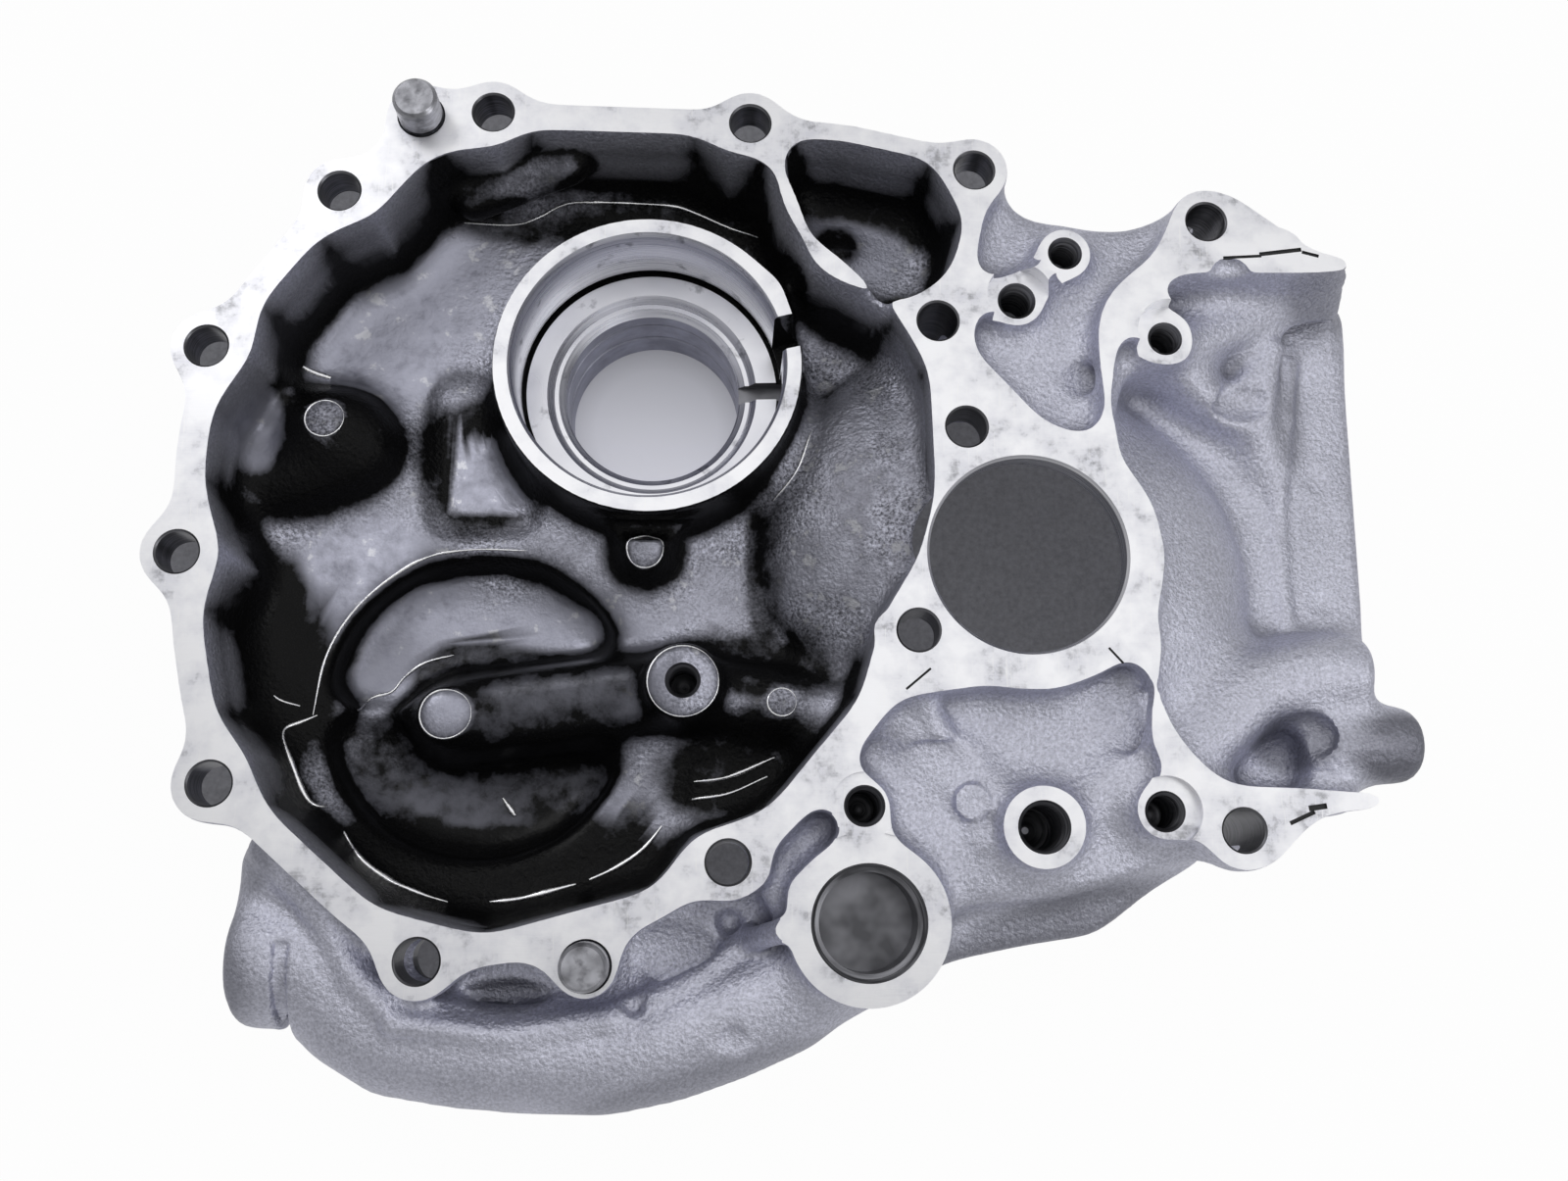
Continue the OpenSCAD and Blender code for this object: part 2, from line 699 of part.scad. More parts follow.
// Machined pads outside the joint face, on their cast bosses
module pads() {
    for (p = upper_taps) tap_boss(p, medium_pad_r, upper_pad_d, medium_tap_len);
    rib(upper_taps[1], upper_taps[0], upper_pad_d, upper_web_d + over, medium_tap_r * 2.4);
    tap_boss(large_tap_at, large_pad_r, low_pad_d, large_tap_len, 3);
    tap_boss(skirt_tap_at, medium_pad_r, low_pad_d, medium_tap_len);
    for (row = web_ridges) ridge(row, lower_web_d + 2);
}

// Cast forms inside the gear cavity and the breather pocket
module cavity_forms() {
    low = cavity_d + 1;
    boss(cone_at, cone_r, cone_d, low, cone_flare);
    boss(pocket_cone_at, pocket_cone_r, pocket_d - pocket_cone_h, pocket_d + 1, pocket_cone_flare);
    mound(sunk(swell[0], swell_d), sunk(swell[1], swell_d), swell_w, low);
    mound(sunk(spur[0], swell_d + 3), sunk(spur[1], swell_d + 2), spur_w, low);
    boss(swell_disc_at, swell_disc_r, swell_d - 1, swell_d + 1);
    well_forms(low, cavity_d + well_d + 1);
    for (k = [0 : 3]) {
        foot = first_fin - [0, fin_pitch * k];
        rib(foot, foot + fin_run, cavity_d - 2.5, low + over, fin_t);
    }
}

// The hub in the oil well, with its arm over the stop boss to the wall
module well_forms(low, well_low) {
    boss(hub_at, hub_r, hub_d, well_low, 5);
    mound(sunk(hub_at, hub_d + 3.5), sunk(stop_at, stop_d + 8), arm_w, well_low);
    boss(stop_at, stop_r, stop_d, cavity_d + 4, 1.6);
    mound(wall_arm[0], wall_arm[1], wall_arm_w, low);
    boss(arm_disc_at, arm_disc_r, -wall_arm[1].z - 0.7, -wall_arm[1].z + 1);
    rib(well_at - [well_r + 1, 0], hub_at, cavity_d + 1, well_low, 3);
}

// The breather pocket, apart from the gear cavity behind a thin wall
module breather_pocket() {
    drafted(pocket_v, pocket_d, floor_fillet - 1);
}

// The gear cavity with its oil well and recess
module gear_cavity() {
    drafted(cavity_v, cavity_d, floor_fillet);
    translate([well_at.x, well_at.y, 0])
        rotate_extrude()
        polygon([
            [0, -cavity_d - well_d], [well_r - 8, -cavity_d - well_d],
            [well_r - 5, -cavity_d - well_d + 1.2], [well_r - 3.2, -cavity_d - well_d + 3.6],
            [well_r, -cavity_d], [well_r, -cavity_d + 0.5], [0, -cavity_d + 0.5]
        ]);
    translate([0, 0, -cavity_d]) drafted(recess_v, recess_d, recess_d - 1);
}

// The chambers that lighten the back behind the shaft bore
module back_chambers() {
    dome(dome_at, dome_core_r, dome_top_d + wall_t, shell_d + 2);
    dome(bulge_at, bulge_r - wall_t, bulge_top_d + floor_t, bay_back_d + 2);
    bore([0, 0], shaft_r + 4, flange_t + 1, shell_d + 2);
}

// Seat, shoulder and bore of the pinion bearing, with the gap in its ring and the oil slot
module bearing_cuts() {
    c = pinion_at;
    bore(c, seat_r, seat_top_d - over, seat_end_d);
    translate([c.x, c.y, -seat_end_d - 2])
        cylinder(r1 = pinion_r, r2 = pinion_r + shoulder_chamfer, h = 2 + eps);
    bore(c, pinion_r, seat_end_d, boss_end_d + over);
    translate([c.x, c.y, -boss_end_d - eps])
        cylinder(r1 = pinion_r + bore_chamfer, r2 = pinion_r, h = bore_chamfer);
    translate([c.x, c.y, -cavity_d + 1.5]) rotate(ring_gap_turn)
        translate([seat_r - 6, -ring_gap_w / 2, 0]) cube([ring_wall + 12, ring_gap_w, cavity_d]);
    translate([c.x, c.y, -seat_end_d - 4]) rotate(oil_slot_turn)
        translate([pinion_r - 2, -oil_slot_w / 2, 0])
        cube([seat_r - pinion_r + 8, oil_slot_w, seat_len - 9]);
}

// The shaft bore: a short land, opening out into the back
module shaft_cuts() {
    bore([0, 0], shaft_r, -over, flange_t + 2);
    translate([0, 0, -flange_t - 4])
        cylinder(r1 = shaft_r + 4, r2 = shaft_r, h = flange_t + 4 - shaft_land);
}

// Bolt, dowel, tapped, drain and port holes
module fastener_cuts() {
    for (p = bolts) bore(p, bolt_hole_r, -over, shell_d + 5);
    bore(upper_dowel_at, dowel_r, -over, dowel_hole_d);
    bore(lower_dowel_at, dowel_r, -over, dowel_hole_d);
    bore(upper_taps[0], small_tap_r, 0, upper_pad_d + small_tap_len);
    bore(upper_taps[1], medium_tap_r, 0, upper_pad_d + medium_tap_len);
    bore(port_tap_at, medium_tap_r, 0, pad_step + medium_tap_len);
    bore(skirt_tap_at, medium_tap_r, 0, low_pad_d + medium_tap_len);
    bore(large_tap_at, large_tap_r, 0, low_pad_d + large_tap_len);
    bore(bay_boss_at, small_tap_r, 0, bay_boss_d + small_tap_len);
    bore(stop_at, small_tap_r, 0, stop_d + small_tap_len);
    bore(drain_at, small_tap_r / 2, pocket_d - over, pocket_d + floor_t + 2);
    bore(port_at, port_r, 0, duct_d);
}

// Stiffening ribs behind the floors, rooted in them
module back_ribs() {
    top = bay_back_d - floor_t / 3;
    short_d = shell_d + short_rib_h;
    rib(pinion_at, long_rib_end, top, rib_d);
    for (end = short_rib_ends) rib(pinion_at, end, top, short_d + (end.y < 0 ? 2 : 0));
    rib(lower_rib[0], lower_rib[1], lower_web_d + 3, lower_rib_d);
    rib(tube_rib[0], tube_rib[1], top, lower_rib_d);
}

// The cast skin: one blended shell with its cavities, before machining
module cast_skin() {
    difference() {
        union() {
            flange();
            shells();
            duct_outer();
            bay();
            webs();
            back_ribs();
            recess_back();
            bearing_boss_back();
        }
        gear_cavity();
        breather_pocket();
        duct_inner();
        back_chambers();
    }
    intersection() {
        union() {
            cavity_forms();
            bearing_ring();
            difference() {
                dome(dome_at, dome_r, dome_top_d, cavity_d + 1);
                dome(dome_at, dome_core_r, dome_top_d + wall_t, cavity_d + 2);
            }
        }
        shells();
    }
    bay_forms();
    pads();
}

module housing() {
    color([0.72, 0.73, 0.77])
    difference() {
        cast_skin();
        bearing_cuts();
        shaft_cuts();
        fastener_cuts();
    }
}

module dowel(place, height) {
    translate([place.x, place.y, 0])
        rotate_extrude()
        polygon([
            [0, -dowel_hole_d], [dowel_r, -dowel_hole_d], [dowel_r, 0],
            [dowel_r - dowel_groove_d, 0], [dowel_r - dowel_groove_d, dowel_groove_w],
            [dowel_r, dowel_groove_w], [dowel_r, height - dowel_chamfer],
            [dowel_r - dowel_chamfer, height], [0, height]
        ]);
}

module upper_dowel_pin() {
    color([0.6, 0.61, 0.64]) dowel(upper_dowel_at, upper_dowel_h);
}

module lower_dowel_pin() {
    color([0.6, 0.61, 0.64]) dowel(lower_dowel_at, lower_dowel_h);
}

housing();
upper_dowel_pin();
lower_dowel_pin();
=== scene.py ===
# Pinion retainer housing: the dressed scene. All sizes are in millimetres until a mesh is made.
import math

import bpy
import numpy as np
import openvdb as vdb
from mathutils import Matrix, Vector


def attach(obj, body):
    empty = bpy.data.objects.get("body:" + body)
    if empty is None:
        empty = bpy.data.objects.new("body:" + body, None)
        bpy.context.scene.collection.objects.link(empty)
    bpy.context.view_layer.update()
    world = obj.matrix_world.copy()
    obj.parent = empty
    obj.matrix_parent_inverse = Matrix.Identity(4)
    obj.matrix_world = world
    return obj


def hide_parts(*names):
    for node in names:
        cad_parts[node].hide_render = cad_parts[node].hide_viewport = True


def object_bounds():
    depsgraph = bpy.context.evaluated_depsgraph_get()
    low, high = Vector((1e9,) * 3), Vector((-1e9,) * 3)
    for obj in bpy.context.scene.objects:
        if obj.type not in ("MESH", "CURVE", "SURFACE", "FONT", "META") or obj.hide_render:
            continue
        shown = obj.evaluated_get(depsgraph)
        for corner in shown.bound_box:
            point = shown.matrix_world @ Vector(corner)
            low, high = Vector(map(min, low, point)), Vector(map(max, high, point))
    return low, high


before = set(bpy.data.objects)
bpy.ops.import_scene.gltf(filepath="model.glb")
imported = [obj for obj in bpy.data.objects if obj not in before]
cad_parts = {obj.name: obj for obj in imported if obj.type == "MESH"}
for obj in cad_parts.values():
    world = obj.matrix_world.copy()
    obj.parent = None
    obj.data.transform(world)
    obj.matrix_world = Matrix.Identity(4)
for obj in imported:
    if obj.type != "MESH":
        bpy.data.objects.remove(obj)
cad_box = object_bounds()

MM = 0.001
# Cell of the volume that the casting is shaped in, and how many cells beside its surface hold distances
STEP = 0.85
BAND = 9
# Radius of the cast fillets, and how far around a shape the volume is edited, which has to be more
FILLET = 3.0
MARGIN = FILLET + 2
# How far smoothing rounds the level and the upright edges
LEVEL_SOFTNESS = 0.8
UPRIGHT_SOFTNESS = 2.6
# Triangles of the casting before it is machined
MAX_TRIANGLES = 171000
SHARP_ANGLE = math.radians(38)

# The photograph's camera, the point in the middle of its picture, and its lens on a 36 mm sensor
EYE = (-66.965, -70.985, 299.771)
AIM = (-53.620, -8.806, 0)
LENS = 32.625
SENSOR = 36
# Brightness of the white world and floor in diffuse light and in reflections
DIFFUSE_SHARE = 0.3
GLOSS_SHARE = 0.38
FLOOR_HALF = 3000
# The mat, a dark sheet that paints the shade under the part, follows the part's section at this height, and
# stays this far inside its edge
MAT_SECTION = -4
MAT_INSET = 3
# Lamps: name, place, target, width, height, power
LAMPS = [
    ("overhead_softbox", (10, 160, 620), (-60, 20, 0), 900, 560, 1.1),
    ("key_softbox", (-480, 430, 480), (-60, 0, -10), 260, 260, 0.75),
    ("fill_softbox", (520, -220, 480), (-40, 0, -10), 300, 300, 0.75),
]

# Places and sizes that the casting's machining shares with the CAD model; z is 0 at the joint face
BOLTS = [
    (-120.4, 102.7), (-154, 82.4), (-180.5, 44.9), (-183, -1.5), (-172.3, -50.5),
    (-128.1, -86.2), (-65.2, -66.4), (-24.5, -17.2), (43.9, -59.7), (-12.9, 28.8),
    (-18.8, 53.7), (44.1, 79.2), (-9.6, 90.9), (-61.4, 101.4),
]
BOLT_R = 4.5
BOLT_DEPTH = 38
UPPER_DOWEL = (-136.7, 101.4)
LOWER_DOWEL = (-94.1, -87.2)
DOWEL_R = 5
DOWEL_DEPTH = 7
# Pinion bearing: its seat in the split ring, and the bore below it
PINION = (-84.3, 45.4)
SEAT_R = 31
SEAT_TOP = -7
SEAT_END = -28
PINION_R = 21
BOSS_END = -56
RING_R = 35.6
RING_GAP_TURN = 14
RING_GAP_W = 8
OIL_SLOT_TURN = 2
OIL_SLOT_HALF = 2.1
SHAFT_R = 21.8
PORT = (-35.8, -78.7)
PORT_R = 11.4
PORT_FACE_R = 17.4
PORT_TOP = -1
# Tapped boss in the cavity whose top stays as cast
STOP = (-75.4, -27)
# Cast stock on the wall of a hole and on the joint face, and the depth at which the face's section is taken
HOLE_STOCK = 0.8
FACE_STOCK = 2.6
SECTION_Z = -0.7

# Tapped holes: place, radius, height of the pad, radius of the pad, depth of the hole
TAPS = [
    ((11.8, 72.5), 3.1, -4, 6.3, 12),
    ((0.1, 60.5), 3.5, -4, 6.3, 14),
    ((-36.6, -54.7), 3.5, -1, 5.9, 14),
    ((27.7, -55.7), 3.5, -2, 6.3, 14),
    ((1.7, -59), 4.8, -2, 9.1, 18),
    ((34.5, 52.3), 3.1, -5, 6.5, 12),
    (STOP, 3.1, -10, 9.1, 12),
]

# Corners of the gear cavity and of the breather pocket at the joint face
CAVITY = [
    (-57.6, 92.8), (-66, 93.4), (-74, 98), (-112, 98.4), (-119, 93.8), (-133.5, 92.6),
    (-145.6, 76.6), (-157.5, 71), (-169.4, 54.5), (-170.4, 43), (-177.6, 31), (-178.8, 14),
    (-173.2, -1.5), (-176.8, -14), (-172, -36), (-165, -44.5), (-160.5, -55), (-137, -75.5),
    (-115, -81), (-80.5, -71.8), (-72.5, -60.6), (-57.5, -56), (-37.5, -31.8), (-32.6, -14.5),
    (-24.4, -1), (-20.3, 14), (-21.2, 42), (-28.5, 55.8), (-46.4, 65.2), (-54.2, 80),
]
POCKET = [
    (-55.4, 97.8), (-46.5, 73.5), (-27, 57.4), (-16.2, 64.8), (-12.4, 79), (-19.4, 92.6),
    (-40, 97),
]
# Marks of the die's ejector pins, as small round lands
EJECTOR_MARKS = [(76.6, 25.1), (75.1, -4.7), (-12.7, -53.5), (-63.8, -103)]
EJECTOR_R = 3.9
# Hollows in the cast skin: place, radii along x and y, depth
HOLLOWS = [
    ((49, 67), (4.5, 3.5), 3), ((56, 41.5), (7, 4.5), 2.5), ((77, 60), (9, 8), 2.5),
    ((66, -38), (6, 5), 2.5), ((-112, -93.5), (9.5, 2.6), 2.4), ((-76, -86), (9, 6.5), 2),
    ((-64.8, -79), (2.6, 2.6), 1.6), ((-84.7, -95.5), (2.2, 2.2), 1.6), ((15, 43), (4, 4), 2),
    ((-20, -46), (9, 6), 1.5), ((24, -36), (9, 7), 1.5),
]
# Soft ridges on the cast skin: the line, the radius and how far it stands proud
RIDGES = [
    ([(-172, -60), (-163, -64), (-152, -76), (-143, -90), (-134, -98)], 3.0, 2.0),
    ([(-134, -99), (-111, -102), (-90, -99), (-72, -91), (-61, -83), (-53, -80)], 2.6, 1.5),
    ([(72, 58), (69, 40), (66.6, 22), (66.2, 8), (66.5, -10)], 2.2, 1.1),
    ([(51, 70), (62, 74), (76, 75)], 2.6, 1.5),
    ([(57, 45), (65, 56), (62, 39)], 2.4, 1.4),
    ([(-31, -17), (-20, -38), (-12.7, -53.5), (-10.7, -62)], 3.0, 1.2),
]
# Gap between the bearing's ring and the cone boss, as round bars: both ends and the radius
CONE_GAP = [((-95, 9.6, -13), (-74, 9.6, -13), 3.2), ((-93, 9.4, -19), (-76, 9.4, -19), 2.4)]
# Bulge of the cavity's upper wall, as a round bar
WALL_BULGE = ((-127, 89.5, -18), (-104, 96.5, -12.5), 4.6)
# Groove behind the hose stub's collar: its place along x, the stub's axis in y and z, its radius there
HOSE_GROOVE_X = -158.5
HOSE_GROOVE_HALF = 1.4
HOSE_AXIS = (-86.5, -24)
HOSE_R = 13.0
# Dark gouges in the joint face: place, length, width, turn in degrees
GOUGES = [
    ((52, 70.6), 9, 0.7, 4), ((61, 72), 10, 1.0, 8), ((68, 71.6), 4, 0.8, -14),
    ((56.5, -57), 6, 0.9, 24), ((60, -54.8), 4, 1.2, 8), ((-24.8, -27.8), 7, 0.5, 40),
    ((19, -23.4), 7, 0.5, -48),
]
# Long steep side of the dome, which the oil leaves as thin as on a floor
DOME = [(-60, -8), (-54, 22), (-40, 48), (-26, 56), (-14, 40), (-14, -2), (-34, -22)]
# Low fins beside the oil well: start of the first, run of each, spacing
FIRST_FIN = (-73, -45, -27)
FIN_RUN = (19.4, 4.8, 0)
FIN_PITCH = 3.1
FINS = 4


def look_at(thing, place, target):
    """Puts a camera or lamp at a place and turns it towards a target, with +Y upwards."""
    back = (Vector(place) - Vector(target)).normalized()
    right = Vector((0, 1, 0)).cross(back).normalized()
    up = back.cross(right)
    thing.location = Vector(place) * MM
    thing.rotation_mode = "QUATERNION"
    thing.rotation_quaternion = Matrix((right, up, back)).transposed().to_quaternion()


def make_camera():
    """The photograph's camera: above the joint face, a little to the lower left."""
    data = bpy.data.cameras.new("camera")
    data.sensor_fit = "HORIZONTAL"
    data.sensor_width = SENSOR
    data.lens = LENS
    data.clip_start = 0.01
    camera = bpy.data.objects.new("camera", data)
    bpy.context.scene.collection.objects.link(camera)
    look_at(camera, EYE, AIM)
    bpy.context.scene.camera = camera


class Volume:
    """A signed distance field of the casting, negative inside, on a regular grid."""

    def __init__(self, points, triangles, margin=6):
        self.low = np.floor((points.min(axis=0) - margin) / STEP).astype(int)
        high = np.ceil((points.max(axis=0) + margin) / STEP).astype(int)
        self.field = np.zeros(high - self.low, np.float32)
        self.read(self.grid_of(points, triangles))

    def grid_of(self, points, triangles, quads=None):
        """The distance field of a closed surface."""
        return vdb.FloatGrid.createLevelSetFromPolygons(
            points.astype(np.float32), triangles=triangles, quads=quads,
            transform=vdb.createLinearTransform(voxelSize=STEP), halfWidth=float(BAND),
        )

    def read(self, grid):
        """Takes over the distances of another field."""
        grid.copyToArray(self.field, ijk=tuple(int(i) for i in self.low))

    def polygons(self, level=0.0):
        """Points, triangles and quads of the surface at a distance."""
        grid = vdb.FloatGrid(BAND * STEP)
        grid.transform = vdb.createLinearTransform(voxelSize=STEP)
        grid.copyFromArray(self.field, ijk=tuple(int(i) for i in self.low))
        return grid.convertToPolygons(isovalue=level)

    def window(self, low, high):
        """The part of the grid between two corners, and its x, y and z coordinates."""
        a = np.clip(np.floor(np.array(low) / STEP).astype(int) - self.low, 0, self.field.shape)
        b = np.clip(np.ceil(np.array(high) / STEP).astype(int) - self.low, 0, self.field.shape)
        part = self.field[a[0]:b[0], a[1]:b[1], a[2]:b[2]]
        axes = [(np.arange(a[i], b[i]) + self.low[i]) * STEP for i in range(3)]
        x, y, z = np.meshgrid(*axes, indexing="ij", sparse=True)
        return part, x.astype(np.float32), y.astype(np.float32), z.astype(np.float32)

    def merge(self, low, high, shape, blend, sign):
        """Joins a shape (sign 1) or takes it out (sign -1), and rounds the edge by about the blend."""
        part, x, y, z = self.window(np.array(low) - blend - MARGIN, np.array(high) + blend + MARGIN)
        ours, theirs = sign * part, shape(x, y, z)
        nearest = np.minimum(ours, theirs)
        if blend:
            h = np.maximum(blend - np.abs(ours - theirs), 0) / blend
            nearest = nearest - h * h * blend / 4
        part[...] = sign * nearest

    def add(self, low, high, shape, blend=0.0):
        """Joins a shape to the casting."""
        self.merge(low, high, shape, blend, 1)

    def cut(self, low, high, shape, blend=0.0):
        """Takes a shape out of the casting."""
        self.merge(low, high, shape, blend, -1)

    def close(self, radius):
        """Fills every inside corner with a fillet of that radius."""
        points, triangles, quads = self.polygons(radius)
        self.read(self.grid_of(points, triangles, quads))
        self.field += radius

    def smooth(self, level, upright):
        """Rounds the edges: level ones by one amount, upright ones by another."""
        self.field = blurred(self.field, (upright / STEP, upright / STEP, level / STEP))

    def top(self, x, y):
        """The height of the casting at a place, seen from above."""
        i, j = int(round(x / STEP)) - self.low[0], int(round(y / STEP)) - self.low[1]
        metal = np.flatnonzero(self.field[i, j] < 0)
        return (metal[-1] + self.low[2]) * STEP if len(metal) else -40.0

    def slope(self, points, reach=1.0):
        """Outward directions of the surface at points near it."""
        out = np.empty((len(points), 3), np.float32)
        for axis in range(3):
            shift = np.zeros(3)
            shift[axis] = reach
            ahead, behind = self.sample(self.field, points + shift), self.sample(self.field, points - shift)
            out[:, axis] = ahead - behind
        return out / np.maximum(np.linalg.norm(out, axis=1), 1e-6)[:, None]

    def land(self, points, above=0.0):
        """Moves points onto the surface, or to a height above it."""
        for _ in range(4):
            away = self.sample(self.field, points) - above
            points = points - self.slope(points) * away[:, None]
        return points

    def sample(self, values, points):
        """Values of a grid at points, by linear interpolation."""
        p = np.clip(points / STEP - self.low, 0, np.array(values.shape) - 1.001)
        i = p.astype(int)
        f = p - i
        out = np.zeros(len(points), np.float32)
        for dx in (0, 1):
            for dy in (0, 1):
                for dz in (0, 1):
                    w = (
                        (f[:, 0] if dx else 1 - f[:, 0])
                        * (f[:, 1] if dy else 1 - f[:, 1])
                        * (f[:, 2] if dz else 1 - f[:, 2])
                    )
                    out += w * values[i[:, 0] + dx, i[:, 1] + dy, i[:, 2] + dz]
        return out


def blurred(values, sigmas):
    """A Gaussian blur along the three axes."""
    for axis, sigma in enumerate(sigmas):
        reach = max(1, int(math.ceil(sigma * 2.6)))
        weights = np.exp(-0.5 * (np.arange(-reach, reach + 1) / sigma) ** 2)
        weights = (weights / weights.sum()).astype(np.float32)
        padded = np.pad(values, [(reach, reach) if a == axis else (0, 0) for a in range(3)], mode="edge")
        size = values.shape[axis]
        total = np.zeros_like(values)
        for k, w in enumerate(weights):
            total += w * np.take(padded, range(k, k + size), axis=axis)
        values = total
    return values


def column(place, radius, low, high):
    """An upright cylinder."""
    cx, cy = place

    def shape(x, y, z):
        side = np.hypot(x - cx, y - cy) - radius
        ends = np.abs(z - (low + high) / 2) - (high - low) / 2
        return np.maximum(side, ends)

    return (cx - radius, cy - radius, low), (cx + radius, cy + radius, high), shape


def capsule(a, b, ra, rb=None):
    """A round bar between two points whose radius changes along it."""
    rb = ra if rb is None else rb
    a, b = np.array(a, float), np.array(b, float)
    d = b - a
    reach = max(ra, rb)

    def shape(x, y, z):
        t = ((x - a[0]) * d[0] + (y - a[1]) * d[1] + (z - a[2]) * d[2]) / (d @ d)
        t = np.clip(t, 0, 1)
        dx, dy, dz = x - a[0] - t * d[0], y - a[1] - t * d[1], z - a[2] - t * d[2]
        return np.sqrt(dx ** 2 + dy ** 2 + dz ** 2) - (ra + (rb - ra) * t)

    return np.minimum(a, b) - reach, np.maximum(a, b) + reach, shape


def ellipsoid(centre, radii):
    """An ellipsoid along the axes."""
    c, r = np.array(centre, float), np.array(radii, float)

    def shape(x, y, z):
        u, v, w = (x - c[0]) / r[0], (y - c[1]) / r[1], (z - c[2]) / r[2]
        k0 = np.sqrt(u * u + v * v + w * w)
        k1 = np.sqrt((u / r[0]) ** 2 + (v / r[1]) ** 2 + (w / r[2]) ** 2)
        return k0 * (k0 - 1) / np.maximum(k1, 1e-6)

    return c - r, c + r, shape


def casting_volume():
    """The CAD housing as a volume, with its machined places filled up again as cast stock."""
    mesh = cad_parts["housing"].data
    mesh.calc_loop_triangles()
    points = np.empty(len(mesh.vertices) * 3, np.float32)
    mesh.vertices.foreach_get("co", points)
    triangles = np.empty(len(mesh.loop_triangles) * 3, np.uint32)
    mesh.loop_triangles.foreach_get("vertices", triangles)
    volume = Volume(points.reshape(-1, 3) / MM, triangles.reshape(-1, 3))
    for place in BOLTS:
        volume.add(*column(place, BOLT_R + HOLE_STOCK, -9, 0))
    for place in (UPPER_DOWEL, LOWER_DOWEL):
        volume.add(*column(place, DOWEL_R + HOLE_STOCK, -DOWEL_DEPTH - 1, 0))
    for place, radius, top, pad_r, depth in TAPS:
        volume.add(*column(place, radius + HOLE_STOCK, top - depth - 1, top))
        volume.add(*column(place, pad_r, top - 3, top if place == STOP else top + 2))
    volume.add(*column(PINION, SEAT_R + 1, SEAT_END - 1, SEAT_TOP))
    volume.add(*column(PINION, PINION_R + 4, BOSS_END, SEAT_END))
    volume.add(*column(PINION, RING_R, SEAT_END, SEAT_TOP + 2))
    volume.add(*column((0, 0), SHAFT_R + HOLE_STOCK, -3.5, 0))
    volume.add(*column(PORT, PORT_R + 1, -12, PORT_TOP))
    volume.add(*column(PORT, PORT_FACE_R, -3, PORT_TOP + 2))
    raise_stock(volume)
    return volume


def raise_stock(volume):
    """Carries the section below the joint face upwards, as the stock that machining takes off."""
    k = int(round(SECTION_Z / STEP)) - volume.low[2]
    heights = (np.arange(volume.field.shape[2]) + volume.low[2]) * STEP
    section = volume.field[:, :, k:k + 1]
    above = volume.field[:, :, k:]
    above[...] = np.maximum(section, (heights[k:] - FACE_STOCK)[None, None, :])


# Radius at which a turned profile starts, because a point on the axis itself would pinch its faces
AXIS = 0.01


def lathe(profile, place, sides=96):
    """Points and faces of a closed solid turned about an upright axis, from (radius, z) pairs."""
    n = len(profile)
    turns = 2 * math.pi * np.arange(sides) / sides
    points = [
        (place[0] + r * math.cos(t), place[1] + r * math.sin(t), z)
        for t in turns for r, z in profile
    ]
    faces = []
    for s in range(sides):
        a, b = s * n, ((s + 1) % sides) * n
        for k in range(n - 1):
            faces.append((a + k, b + k, b + k + 1, a + k + 1))
    faces.append(tuple(s * n + n - 1 for s in range(sides)))
    faces.append(tuple(s * n for s in reversed(range(sides))))
    return points, faces


def box(low, high, place=(0, 0), turn=0.0):
    """Points and faces of a box, turned about an upright axis through a place."""
    c, s = math.cos(turn), math.sin(turn)
    points = []
    for z in (low[2], high[2]):
        for x, y in ((low[0], low[1]), (high[0], low[1]), (high[0], high[1]), (low[0], high[1])):
            points.append((place[0] + c * x - s * y, place[1] + s * x + c * y, z))
    faces = [
        (3, 2, 1, 0), (4, 5, 6, 7), (0, 1, 5, 4), (1, 2, 6, 5), (2, 3, 7, 6), (3, 0, 4, 7),
    ]
    return points, faces


def mesh_object(name, points, faces, material=None):
    """A Blender object from points in millimetres."""
    mesh = bpy.data.meshes.new(name)
    mesh.from_pydata([tuple(c * MM for c in p) for p in points], [], faces)
    if material:
        mesh.materials.append(material)
    made = bpy.data.objects.new(name, mesh)
    bpy.context.scene.collection.objects.link(made)
    return made


def joined(solids):
    """Several closed solids as one set of points and faces."""
    points, faces = [], []
    for p, f in solids:
        start = len(points)
        points += p
        faces += [tuple(i + start for i in face) for face in f]
    return points, faces


def apply_modifiers(thing):
    """Replaces a mesh by its evaluated form."""
    graph = bpy.context.evaluated_depsgraph_get()
    made = bpy.data.meshes.new_from_object(thing.evaluated_get(graph))
    old = thing.data
    thing.modifiers.clear()
    thing.data = made
    bpy.data.meshes.remove(old)


def cut_with(thing, solids, material):
    """Machines the casting: takes the solids away and gives the fresh faces a material."""
    tool = mesh_object("tool", *joined(solids), material)
    modifier = thing.modifiers.new("cut", "BOOLEAN")
    modifier.operation = "DIFFERENCE"
    modifier.solver = "MANIFOLD"
    modifier.material_mode = "TRANSFER"
    modifier.object = tool
    apply_modifiers(thing)
    bpy.data.objects.remove(tool)


def hole_profile(radius, top, depth, chamfer=0.45):
    """A drilled hole with a pointed end and a chamfer."""
    end = top - depth
    return [
        (AXIS, end - radius * 0.5), (radius * 0.98, end), (radius, end + 0.1), (radius, top - chamfer),
        (radius + chamfer, top), (radius + chamfer, top + 0.6), (AXIS, top + 0.6),
    ]


